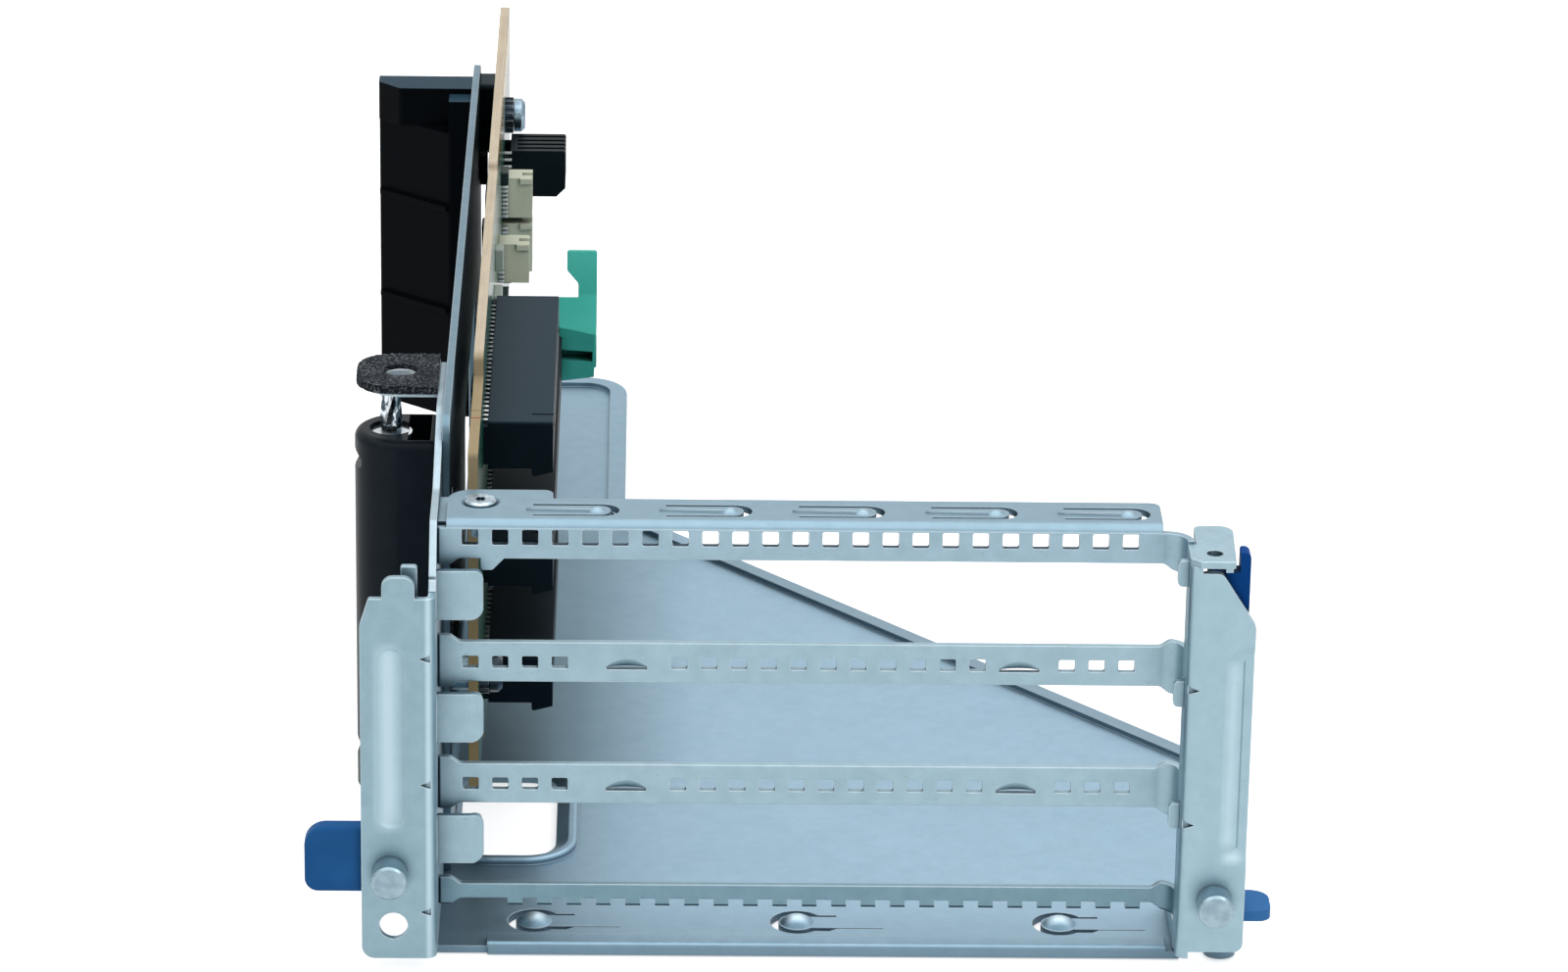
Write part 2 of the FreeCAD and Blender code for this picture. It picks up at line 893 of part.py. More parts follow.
def tongue_clip(middle):
    """Bent clip that presses on a card bracket's tongue, with its free end curled back."""
    rear, front = -clip_stand_off, -clip_stand_off - sheet
    curl_start = clip_reach - clip_curl_length
    turn = math.atan2(clip_curl, clip_curl_length)
    strip = prism([
        (0, front, 0),
        (curl_start, front, sheet_corner),
        (clip_reach, front + clip_curl, 0),
        (clip_reach - sheet * math.sin(turn), front + clip_curl + sheet * math.cos(turn), 0),
        (curl_start - sheet * math.tan(turn / 2), rear, 0),
        (0, rear, 0),
    ], "XY", middle - clip_height / 2, middle + clip_height / 2)
    face = prism([
        (0, middle - clip_height / 2, 0),
        (clip_reach, middle - clip_height / 2, clip_round),
        (clip_reach, middle + clip_height / 2, clip_round),
        (0, middle + clip_height / 2, 0),
    ], "XZ", front, 0)
    return strip.common(face)


def bend_dent(x, inwards, z):
    """Cut for a pointed dent pressed into the bend of a front post."""
    half = bend_dent_height / 2
    shape = [(x, z - half, 0), (x + inwards * bend_dent_length, z, 0), (x, z + half, 0)]
    return prism(shape, "XZ", post_front - sheet, post_front + bend_dent_depth)


def make_left_post():
    """Left front face of the cage with its lug, pressed channel and screw hole."""
    plan = [
        (-post_left_width, post_front, 0),
        (0, post_front, post_bend),
        (0, -wall_front, 0),
        (-sheet, -wall_front, 0),
        (-sheet, post_rear, post_bend - sheet),
        (-post_left_width, post_rear, 0),
    ]
    front = [
        (0, wall_foot, 0),
        (0, post_left_top, 0),
        (-lug_low, post_left_top, 0),
        (-lug_low, lug_top, lug_round),
        (-lug_high, lug_top, lug_round),
        (-lug_high, post_left_top, 0),
        (-post_left_width + post_slope, post_left_top, small_round),
        (-post_left_width, post_left_shoulder, post_left_round),
        (-post_left_width, wall_foot, post_left_round),
    ]
    post = prism(plan, "XY", wall_foot, lug_top).common(prism(front, "XZ", post_front, -wall_front))
    axis_y = post_front + emboss_depth - channel_radius
    low = Vector(-channel_x, axis_y, channel_bottom + channel_width / 2)
    high = Vector(-channel_x, axis_y, channel_top - channel_width / 2)
    channel = joined([
        rod(channel_radius, low, up, high.z - low.z),
        Part.makeSphere(channel_radius, low),
        Part.makeSphere(channel_radius, high),
    ])
    before = post_front - sheet
    cuts = [
        channel,
        rod(screw_hole_radius, Vector(-screw_hole_x, before, screw_hole_z), back, 3 * sheet),
        rod(stud_shank, Vector(-left_stud_x, before, left_stud_z), back, 3 * sheet),
    ]
    cuts += [bend_dent(-post_bend / 2, -1, z) for z in left_dent_rows]
    return without(post, cuts)


def make_right_post():
    """Ledge for the bracket flanges and front face of the right side."""
    plan = [
        (cage_width, -ledge_bend, 0),
        (cage_width, post_front, post_bend),
        (post_right, post_front, 0),
        (post_right, post_rear, 0),
        (ledge_outer, post_rear, post_bend - sheet),
        (ledge_outer, -ledge_bend, 0),
    ]
    foot = ledge_outer + post_bend / 2
    flat = cage_width + post_right_flat
    front = [
        (cage_width, ledge_tip, 0),
        (foot, ledge_tip, 0),
        (foot, post_right_foot, 0),
        (post_right, post_right_foot, sheet_corner),
        (post_right, post_right_shoulder, post_left_round),
        (flat, post_right_top, sheet_corner),
        (foot, post_right_top, 0),
        (foot, spring_tab_bottom, 0),
        (cage_width, spring_tab_bottom, 0),
    ]
    face = prism(front, "XZ", post_front, -ledge_bend)
    post = prism(plan, "XY", base_sheet, spring_tab_bottom).common(face)
    gusset = block(cage_width, ledge_outer, -ledge_bend, ledge_foot_back, base_sheet, ledge_foot_top)
    recess_right = post_right + sheet
    sections = []
    for share in (0, 1):
        grown = (1 - share) * post_recess_slope
        y = post_front + share * emboss_depth
        recess_left = post_right - post_recess_width - grown
        sections.append(outline([
            (recess_left, post_recess_bottom - grown, sheet_corner + grown),
            (recess_right, post_recess_bottom - grown, 0),
            (recess_right, post_recess_top + grown, 0),
            (recess_left, post_recess_top + grown, sheet_corner + grown),
        ], lambda p: Vector(p.x, y, p.y)))
    recess = Part.makeLoft(sections, True, True)
    pivot_hole = rod(stud_shank, pivot + Vector(0, post_front - sheet, 0), back, 3 * sheet)
    cuts = [recess, pivot_hole]
    cuts += [bend_dent(cage_width + post_bend / 4, 1, z) for z in right_dent_rows]
    return without(joined([post, gusset]), cuts)


def make_spring_tab():
    """Tab bent over the top of the right post, with a hooked front lip."""
    tab_right = cage_width + spring_tab_width
    inner = ledge_outer + lever_gap
    front = -spring_tab_front
    tab = prism([
        (cage_width, -ledge_bend, 0),
        (cage_width, front + post_bend, 0),
        (cage_width + post_bend, front, 0),
        (tab_right, front, small_round),
        (tab_right + spring_tab_flare, spring_tab_back, spring_tab_back_round),
        (inner, spring_tab_back, spring_tab_inner_round),
        (inner, -ledge_bend, 0),
    ], "XY", spring_tab_bottom, spring_tab_bottom + sheet)
    lip_right = tab_right - small_round
    lip = block(lip_right - spring_lip_width, lip_right, front, front + spring_lip_depth,
                spring_tab_bottom - spring_lip_drop, spring_tab_bottom)
    start = Vector(cage_width + spring_hole_x, spring_hole_y, spring_tab_bottom - sheet)
    return joined([tab, lip]).cut(rod(spring_hole_radius, start, up, 3 * sheet))


def flange_nub(top):
    """Nub on the right post's ledge that guides one bracket flange."""
    middle = top - nub_drop
    low, high = middle - nub_height / 2, middle + nub_height / 2
    return prism([
        (cage_width - nub_reach, low, nub_round),
        (cage_width, low, 0),
        (cage_width, high, 0),
        (cage_width - nub_reach, high, nub_round),
    ], "XZ", -nub_stand - sheet, -nub_stand)


def locating_stud(x, z, grip):
    """Riveted stud: a chamfered pin in front of the post, a shank through it and a flange behind."""
    tip_y = post_front - stud_length
    tip = Part.makeCone(stud_radius - stud_chamfer, stud_radius, stud_chamfer, Vector(x, tip_y, z), back)
    pin = rod(stud_radius, Vector(x, tip_y + stud_chamfer, z), back, stud_length - stud_chamfer)
    shank = rod(stud_shank, Vector(x, post_front, z), back, sheet + grip)
    flange = rod(stud_flange, Vector(x, post_rear + grip, z), back, stud_flange_thickness)
    return joined([tip, pin, shank, flange])


def make_lift_tab():
    """Blue finger tab riveted behind the left post, dished for a fingertip."""
    tab = prism([
        (-lift_reach, lift_bottom, lift_bottom_round),
        (-lift_inner, lift_bottom, lift_inner_round),
        (-lift_inner, lift_top, lift_inner_round),
        (-lift_reach, lift_top, lift_top_round),
    ], "XZ", post_rear, post_rear + lift_thickness)
    rim = [edge for edge in tab.Edges
           if edge.BoundBox.XMax < -post_left_width and edge.BoundBox.YLength < fit_clearance]
    tab = tab.makeFillet(lift_edge_round, rim)
    ball = (lift_dish_radius ** 2 + lift_dish_depth ** 2) / (2 * lift_dish_depth)
    dish_x = -(lift_reach + post_left_width) / 2
    dish_middle = Vector(dish_x, post_rear + lift_dish_depth - ball, (lift_bottom + lift_top) / 2)
    dish = Part.makeSphere(ball, dish_middle)
    hole = rod(stud_shank, Vector(-left_stud_x, post_rear, left_stud_z), back, lift_thickness)
    return without(tab, [dish, hole])


def make_retainer_lever():
    """Blue lever on the pivot stud: hub, ribbed bar, grip under the spring tab and thumb pad."""
    inner, outer = cage_width + lever_inner, cage_width + lever_outer
    pad_left = cage_width + spring_tab_width + spring_tab_flare + lever_gap
    grip_left = inner - lever_grip_reach
    grip_low = lever_top - lever_grip_width
    bar = prism([
        (inner, pivot_z, 0),
        (outer, pivot_z, 0),
        (outer, lever_pad_top, lever_pad_round),
        (pad_left, lever_pad_top, small_round),
        (pad_left, lever_top, 0),
        (grip_left, lever_top, lever_grip_round),
        (grip_left, grip_low, 0),
        (inner, grip_low - lever_grip_width, 0),
    ], "XZ", lever_front, lever_rear)
    hub = rod(lever_hub_radius, pivot + Vector(0, lever_front, 0), back, lever_thickness)
    tip = cage_width + heel_reach
    heel_rear = lever_front + heel_depth
    heel = prism([
        (pivot.x, lever_front, 0),
        (tip, lever_front, heel_front_round),
        (tip, heel_rear, heel_back_round),
        (pivot.x + lever_hub_radius, heel_rear, 0),
        (pivot.x + lever_hub_radius, lever_rear, 0),
        (pivot.x, lever_rear, 0),
    ], "XY", heel_top - heel_thickness, heel_top)
    rib_rear = lever_rear + lever_rib_depth
    rib = block(outer - lever_rib_depth, outer, lever_rear, rib_rear, pivot_z + lever_hub_radius, grip_low)
    start = pivot + Vector(0, lever_front - lever_gap, 0)
    bore = rod(stud_shank + lever_bore_clearance, start, back, lever_thickness + 2 * lever_gap)
    return joined([bar, hub, heel, rib]).cut(bore)


def base_outline():
    """Plan of the cover plate, clockwise seen from above."""
    ear_left = base_right - ear_width
    return [
        (-sheet, -base_front + base_set_back, base_corner),
        (-sheet, base_back, base_back_corner),
        (arm_width, base_back, arm_round),
        (arm_width, arm_start, arm_round),
        (base_right, right_side_end, base_back_corner),
        (base_right, -base_front, ear_round),
        (ear_left, -base_front, ear_round),
        (ear_left, base_front, base_corner),
        (ledge_outer, base_front, base_corner),
        (ledge_outer, -base_front, small_round),
        (front_hem_start, -base_front, small_round),
        (front_hem_start, -base_front + base_set_back, 0),
    ]


def edge_hem():
    """Folded hem on the plate's right side, slanted edge and arm, rounded along its fold."""
    plan = [
        (0, 0, 0),
        (0, base_back, 0),
        (arm_width, base_back, arm_round),
        (arm_width, arm_start, arm_round),
        (base_right, right_side_end, base_back_corner),
        (base_right, 0, 0),
    ]
    whole = prism(plan, "XY", base_sheet, hem_top)
    fold = [edge for edge in whole.Edges
            if edge.BoundBox.ZMin > hem_top - fit_clearance and edge.BoundBox.XMax > hem_left]
    fold = [edge for edge in fold if edge.BoundBox.YMax > fit_clearance]
    whole = whole.makeFillet(hem_round, fold)
    ring = whole.cut(prism(inset(plan, hem_width), "XY", 0, 2 * hem_top))
    return ring.common(block(hem_left, base_right, hem_near, base_back, 0, 2 * hem_top))


def hand_rim_ring():
    """Raised rim of the hand hole, sloping down to the hole."""
    rim_top = base_sheet + hand_rim_height
    rim = prism(rounded_box(hand_left - hand_rim, hand_right + hand_rim, hand_front - hand_rim,
                            hand_back + hand_rim, hand_round + hand_rim), "XY", base_sheet, rim_top)
    crest = [edge for edge in rim.Edges if edge.BoundBox.ZMin > rim_top - fit_clearance]
    rim = rim.makeFillet(hem_round, crest)
    low = rounded_box(hand_left, hand_right, hand_front, hand_back, hand_round)
    high = rounded_box(hand_left - hand_rim_slope, hand_right + hand_rim_slope, hand_front - hand_rim_slope,
                       hand_back + hand_rim_slope, hand_round + hand_rim_slope)
    funnel = Part.makeLoft([
        outline(low, lambda p: Vector(p.x, p.y, base_sheet)),
        outline(high, lambda p: Vector(p.x, p.y, rim_top)),
    ], True, True)
    return rim.cut(funnel).common(block(base_sheet + fit_clearance, base_right, 0, base_back, 0, 2 * rim_top))


def tongue_slit(x):
    """Cut round one keyhole tongue: a ring at its head, a tapering near slit and a short far slit."""
    low, high = -base_sheet, 2 * base_sheet
    foot = Vector(x, tongue_y, low)
    half = tongue_neck / 2
    ring = rod(tongue_head + tongue_ring, foot, up, high - low)
    near = prism([
        (x, tongue_y - half, 0),
        (x, tongue_y - half - tongue_near_slit, 0),
        (x + tongue_near_wide, tongue_y - half - tongue_near_slit, 0),
        (x + tongue_near_wide + tongue_near_slit, tongue_y - half - tongue_near_tail, 0),
        (x + tongue_near_length, tongue_y - half - tongue_near_tail, 0),
        (x + tongue_near_length, tongue_y - half, 0),
    ], "XY", low, high)
    far = block(x, x + tongue_far_length, tongue_y + half, tongue_y + half + tongue_far_slit, low, high)
    head = rod(tongue_head, foot, up, high - low)
    neck = block(x, x + tongue_near_length, tongue_y - half, tongue_y + half, low, high)
    return joined([ring, near, far]).cut(joined([head, neck]))


def make_base_plate():
    """Cover plate: hemmed edges, rimmed hand hole and keyhole spring tongues."""
    floor = prism(base_outline(), "XY", 0, base_sheet)
    front = -base_front
    front_hem = prism([
        (front, base_sheet, 0),
        (front, hem_top, hem_round),
        (front + front_hem_width, hem_top, 0),
        (front + front_hem_width, base_sheet, 0),
    ], "YZ", front_hem_start, cage_width - front_hem_end_margin)
    hand_shape = rounded_box(hand_left, hand_right, hand_front, hand_back, hand_round)
    cuts = [prism(hand_shape, "XY", -base_sheet, 2 * base_sheet)]
    domes = []
    for index in range(tongue_count):
        x = tongue_first + index * tongue_pitch
        cuts.append(tongue_slit(x))
        domes.append(cap_dome(x, tongue_y, base_sheet, tongue_dome_radius, tongue_dome_rise))
    return joined([without(floor, cuts), edge_hem(), front_hem, hand_rim_ring()] + domes)


def make_side_plate():
    """Sheet that stands on the cover plate and carries the board, with a window behind the board."""
    plate = prism([
        (plate_front, base_sheet, 0),
        (plate_back, base_sheet, 0),
        (plate_back, plate_top, plate_round),
        (plate_front, plate_top, plate_round),
    ], "YZ", 0, base_sheet)
    window = rounded_box(plate_window_front, plate_window_back, plate_window_bottom, plate_window_top,
                         plate_window_round)
    cuts = [prism(window, "YZ", -sheet, 2 * base_sheet)]
    for z in rivet_rows:
        cuts.append(rod(rivet_radius, Vector(-sheet, rivet_y, z), right, 3 * base_sheet))
    for y, z in (far_screw,) + standoff_places:
        cuts.append(rod(board_screw_radius, Vector(-sheet, y, z), right, 3 * base_sheet))
    half_y, half_z = hook_neck_width / 2 + fit_clearance, hook_neck_height / 2 + fit_clearance
    cuts.append(block(-sheet, 2 * base_sheet, hook_place_y - half_y, hook_place_y + half_y,
                      hook_place_z - half_z, hook_place_z + half_z))
    return without(plate, cuts)


def make_plate_rivets():
    """Rivets that hold the side plate on the left wall."""
    rivets = []
    for z in rivet_rows:
        shank = rod(rivet_radius, Vector(-sheet, rivet_y, z), right, sheet + base_sheet)
        inner_foot = Vector(base_sheet, rivet_y, z)
        outer_foot = Vector(-sheet - rivet_head, rivet_y, z)
        inner_head = Part.makeCone(rivet_head_radius, rivet_radius, rivet_head, inner_foot, right)
        outer_head = Part.makeCone(rivet_radius, rivet_head_radius, rivet_head, outer_foot, right)
        rivets.append(joined([shank, inner_head, outer_head]))
    return Part.makeCompound(rivets)


def make_riser_board():
    """Circuit board with its stepped upper edge, the longest step of which is the edge connector."""
    board = prism([
        (board_front, board_front_bottom, board_small_round),
        (board_front, board_front_top, board_small_round),
        (board_step, board_front_top, board_small_round),
        (board_step, board_top, board_small_round),
        (edge_start, board_top, board_small_round),
        (edge_start, edge_top, board_small_round),
        (board_back, edge_top, board_round),
        (board_back, board_bottom + board_corner, board_round),
        (board_back - board_corner / 2, board_bottom, board_round),
        (board_step, board_bottom, board_low_round),
        (board_step - 2 * board_round, board_front_bottom, board_low_round),
    ], "YZ", board_left, board_right)
    holes = []
    for y, z in (far_screw,) + standoff_places:
        start = Vector(board_left - board_thickness, y, z)
        holes.append(rod(board_screw_radius + fit_clearance, start, right, 3 * board_thickness))
    return without(board, holes)


def board_fixing(y, z):
    """Pan screw and washer on one board fixing."""
    head_seat = board_right + washer_thickness
    washer_foot = Vector(board_right, y, z)
    washer = rod(washer_radius, washer_foot, right, washer_thickness)
    washer = washer.cut(rod(board_screw_radius + fit_clearance, washer_foot, right, washer_thickness))
    shank = rod(board_screw_radius, Vector(0, y, z), right, head_seat)
    head = rod(board_screw_head_radius, Vector(head_seat, y, z), right, board_screw_head)
    half_way = head_seat + board_screw_head / 2
    rim = [edge for edge in head.Edges if edge.BoundBox.XMin > half_way and len(edge.Vertexes) == 1]
    head = head.makeChamfer(board_screw_head / 3, rim)
    end = head_seat + board_screw_head
    long_half, short_half = board_screw_head_radius * board_recess_share, board_recess_width / 2
    slot = block(half_way, end, y - long_half, y + long_half, z - short_half, z + short_half)
    cross = block(half_way, end, y - short_half, y + short_half, z - long_half, z + long_half)
    return without(joined([shank, head]), [slot, cross]), washer


def make_standoffs():
    """Round spacers between the side plate and the board."""
    spacers = []
    for y, z in standoff_places:
        tube = rod(standoff_radius, Vector(base_sheet, y, z), right, board_left - base_sheet)
        spacers.append(tube.cut(rod(board_screw_radius + fit_clearance, Vector(0, y, z), right, board_left)))
    return Part.makeCompound(spacers)


def make_board_spacer():
    """Black block round the far board screw, open at its front so that the thread shows."""
    side = rounded_box(spacer_front, plate_back, spacer_bottom, spacer_top, spacer_round)
    spacer = prism(side, "YZ", base_sheet, board_left)
    y, z = far_screw
    half = spacer_notch / 2
    notch = block(0, 2 * board_left, spacer_front - spacer_round, y, z - half, z + half)
    bore = rod(board_screw_radius + fit_clearance, Vector(0, y, z), right, 2 * board_left)
    return without(spacer, [notch, bore])


def slot_connector(floor, length):
    """Card-edge connector for the slot above a rail: housing, keyed card slot, end hook and feet."""
    middle = floor + slot_gap - connector_drop
    half = connector_width / 2
    low, high = middle - half, middle + half
    end = connector_front + length
    hook_left = housing_right - hook_length
    housing = prism(rounded_box(connector_front, end, low, high, connector_round), "YZ",
                    housing_left, housing_right)
    hook = prism([
        (hook_left, low + connector_round, 0),
        (hook_left, low - hook_drop, small_round),
        (housing_right, low - hook_drop + hook_rise, 0),
        (housing_right, low + connector_round, 0),
    ], "XZ", connector_front, connector_front + hook_depth)
    foot_low, foot_high = middle - half * foot_share, middle + half * foot_share
    feet = [block(board_right, housing_left, y, y + foot_length, foot_low, foot_high)
            for y in (connector_front, (connector_front + end) / 2, end - foot_length)]
    slot_half = card_slot_width / 2
    lead = slot_half + card_lead
    slot_floor = housing_right - card_slot_depth
    lead_end = housing_right - card_lead
    mouth = [
        (housing_right, middle - lead, 0),
        (lead_end, middle - slot_half, 0),
        (slot_floor, middle - slot_half, 0),
        (slot_floor, middle + slot_half, 0),
        (lead_end, middle + slot_half, 0),
        (housing_right, middle + lead, 0),
    ]
    key = connector_front + card_key_place
    groove_front = connector_front + end_groove_place
    cuts = [
        prism(mouth, "XZ", connector_front + card_slot_wall, key - card_key_width / 2),
        prism(mouth, "XZ", key + card_key_width / 2, end - card_slot_wall),
        block(hook_left, 2 * housing_right, groove_front, groove_front + end_groove,
              high - end_groove, 2 * high),
    ]
    return without(joined([housing, hook] + feet), cuts)


def make_middle_connector():
    """Long connector with two cheeks at its far end that hold the latch's pin."""
    half = connector_width / 2
    cheek_in = latch_half + latch_side_gap
    cheek_top = housing_left + latch_cheek_height
    cheek_start = long_end - connector_round
    cheek_end = long_end + latch_cheek_length
    cheek = [
        (housing_left, cheek_start, 0),
        (cheek_top, cheek_start, 0),
        (cheek_top, cheek_end, latch_cheek_round),
        (housing_left, cheek_end, latch_cheek_foot_round),
    ]
    pieces = [
        slot_connector(lower_rail_top, long_length),
        prism(cheek, "XY", latch_level - half, latch_level - cheek_in),
        prism(cheek, "XY", latch_level + cheek_in, latch_level + half),
    ]
    start = latch_axis + Vector(0, 0, latch_level - connector_width)
    return joined(pieces).cut(rod(latch_pin_radius, start, up, 2 * connector_width))


def make_connector_latch():
    """Green latch: hub on the pin, arm past the connector's end, slotted head and finger."""
    front = long_end + latch_front
    rear = front + latch_depth
    ramp_rear = front + latch_ramp_run
    tip = housing_left + latch_reach
    head_left = housing_left + latch_head_start
    low, high = latch_level - latch_head_bottom, latch_level + latch_head_top
    ramp_top = high + latch_ramp_rise
    arm_low, arm_high = latch_level - latch_half, latch_level + latch_half
    hub = rod(latch_hub_radius, latch_axis + Vector(0, 0, arm_low), up, 2 * latch_half)
    arm = block(latch_axis.x, tip, front + latch_front_slant, rear, arm_low, arm_high)
    head = prism([
        (front, low, 0),
        (front, high, latch_ramp_round),
        (ramp_rear, ramp_top, small_round),
        (ramp_rear, latch_level, 0),
        (rear, low, 0),
    ], "YZ", head_left, tip)
    face = prism([
        (head_left, low, 0),
        (tip - latch_side_slant, low + latch_lower_slant, 0),
        (tip, high, 0),
        (tip, ramp_top, 0),
        (head_left, ramp_top, latch_corner),
    ], "XZ", front, ramp_rear)
    plan = prism([
        (head_left, front + latch_front_slant, small_round),
        (tip, front, small_round),
        (tip, ramp_rear, 0),
        (head_left, ramp_rear, 0),
    ], "XY", low, ramp_top)
    finger_low, finger_high = latch_level + latch_finger_bottom, latch_level + latch_finger_top
    finger_root = ramp_top - latch_finger_thickness
    finger_left = tip - latch_finger_width
    neck_left = tip - latch_neck_width
    finger_rear = ramp_rear + latch_finger_lean
    finger = prism([
        (tip, finger_root, 0),
        (tip, finger_high, small_round),
        (finger_left, finger_high, small_round),
        (finger_left, finger_low, latch_finger_round),
        (neck_left, finger_low - latch_finger_width + latch_neck_width, latch_finger_round),
        (neck_left, finger_root, 0),
    ], "XZ", front, finger_rear + latch_finger_flat)
    side = prism([
        (ramp_rear - latch_finger_thickness, finger_root, 0),
        (ramp_rear, ramp_top, 0),
        (finger_rear, finger_high, 0),
        (finger_rear + latch_finger_flat, finger_high, 0),
        (ramp_rear + latch_finger_flat, finger_root, 0),
    ], "YZ", finger_left, tip)
    slot_half = card_slot_width / 2
    slot_left = latch_axis.x + latch_hub_radius
    card_slot = block(slot_left, tip - latch_slot_end, front - latch_front, rear - latch_slot_back,
                      latch_level - slot_half, latch_level + slot_half)
    start = latch_axis + Vector(0, 0, latch_level - connector_width)
    bore = rod(latch_pin_radius + latch_clearance, start, up, 2 * connector_width)
    head = head.common(face).common(plan)
    return without(joined([hub, arm, head, finger.common(side)]), [card_slot, bore])


def make_latch_pin():
    """Steel pin across the connector's cheeks."""
    start = latch_axis + Vector(0, 0, latch_level - connector_width / 2)
    return rod(latch_pin_radius, start, up, connector_width)


def make_power_header():
    """Black power header standing off the board, open towards the cards, with grooves in its top."""
    left, mouth = board_right + header_foot, board_right + header_reach
    rear, top = header_front + header_depth, header_bottom + header_height
    body = prism([
        (left, header_bottom, 0),
        (mouth - header_chamfer, header_bottom, 0),
        (mouth, header_bottom + header_chamfer, 0),
        (mouth, top, small_round),
        (left, top, 0),
    ], "XZ", header_front, rear)
    foot_low, foot_high = header_bottom + header_wall, top - header_wall
    feet = [block(board_right, left, y, y + header_wall, foot_low, foot_high)
            for y in (header_front, rear - header_wall)]
    pitch = (header_depth - header_wall) / header_cells
    beyond = mouth + header_wall
    cuts = []
    for index in range(header_cells):
        y = header_front + header_wall + index * pitch
        y_end = y + pitch - header_wall
        cell_low = header_bottom + 2 * header_wall
        cuts.append(block(mouth - header_cell_depth, beyond, y, y_end, cell_low, foot_high))
        cuts.append(block(left + header_wall, beyond, y, y_end, top - header_groove, top + header_groove))
    return without(joined([body] + feet), cuts)


def signal_socket(front, bottom, height):
    """Beige wire-to-board socket with a cavity, a notched upper edge and a locking lip."""
    mouth = board_right + socket_reach
    rear, top = front + socket_depth, bottom + height
    body = block(board_right, mouth, front, rear, bottom, top)
    lip_front, lip_low = front - socket_lip_depth, top - socket_lip_height
    lip = block(mouth - socket_lip_width, mouth, lip_front, front, lip_low, top)
    beyond = mouth + socket_wall
    cavity = block(mouth - socket_cavity, beyond, front + socket_wall, rear - socket_wall,
                   bottom + socket_wall, top - socket_wall)
    notch_front = front + socket_notch_start
    notch = block(mouth - socket_cavity / 2, beyond, notch_front, notch_front + socket_notch_width,
                  top - 2 * socket_wall, top + socket_wall)
    return without(joined([body, lip]), [cavity, notch])


def flat_parts(places, low, high):
    """Small soldered parts as one group of separate blocks."""
    return Part.makeCompound([
        prism(rounded_box(y, y + length, z, z + height, component_round), "YZ", low, high)
        for y, z, length, height in places])


def make_air_baffle():
    """Thin-walled air deflector outside the side plate, open behind, with a hook through the plate."""
    deep = baffle_back - baffle_edge
    plan = [
        (-baffle_reach, baffle_back, 0),
        (0, baffle_back, 0),
        (0, baffle_front, 0),
        (-baffle_flat, baffle_front, baffle_front_round),
        (-baffle_reach, deep, baffle_edge_round),
    ]
    cap_plan = [
        (-baffle_reach, baffle_back, 0),
        (0, baffle_back, 0),
        (0, baffle_cap_front, 0),
        (-baffle_reach + baffle_cap_corner, baffle_cap_front, baffle_front_round),
        (-baffle_reach, baffle_cap_front + baffle_cap_corner, baffle_edge_round),
    ]
    cap_low = plate_top - baffle_cap
    body = prism(plan, "XY", baffle_bottom, cap_low)
    cap = prism(cap_plan, "XY", cap_low, plate_top)
    pocket = prism(inset(plan, baffle_wall), "XY", baffle_bottom + baffle_wall, cap_low)
    cap_pocket = prism(inset(cap_plan, baffle_wall), "XY", cap_low, plate_top - baffle_wall)
    mouth = [shape.translated(Vector(0, baffle_wall, 0)) for shape in (pocket, cap_pocket)]
    shell = without(without(joined([body, cap]), [pocket, cap_pocket]), mouth)
    slope = math.atan2(deep - baffle_front, baffle_reach - baffle_flat)
    side_step, front_step = baffle_rib * math.sin(slope), baffle_rib * math.cos(slope)
    rib = [
        (-baffle_reach, deep, 0),
        (-baffle_flat, baffle_front, 0),
        (-baffle_flat - side_step, baffle_front - front_step, 0),
        (-baffle_reach, deep - front_step - side_step * math.tan(slope), 0),
    ]
    ribs = [prism(rib, "XY", z, z + baffle_rib) for z in baffle_rib_rows]
    ledge_top = plate_top - baffle_ledge_drop
    ledge = block(-baffle_flat, 0, baffle_front, baffle_cap_front, cap_low, ledge_top)
    head_left = base_sheet + 2 * fit_clearance
    neck_half_y, neck_half_z = hook_neck_width / 2, hook_neck_height / 2
    neck = block(-baffle_wall, head_left, hook_place_y - neck_half_y, hook_place_y + neck_half_y,
                 hook_place_z - neck_half_z, hook_place_z + neck_half_z)
    head_half_y, head_half_z = hook_head_width / 2, hook_head_height / 2
    head = rounded_box(hook_place_y - head_half_y, hook_place_y + head_half_y,
                       hook_place_z - head_half_z, hook_place_z + head_half_z, hook_head_round)
    hook = prism(head, "YZ", head_left, head_left + hook_head_thickness)
    return joined([shell, ledge, neck, hook] + ribs)


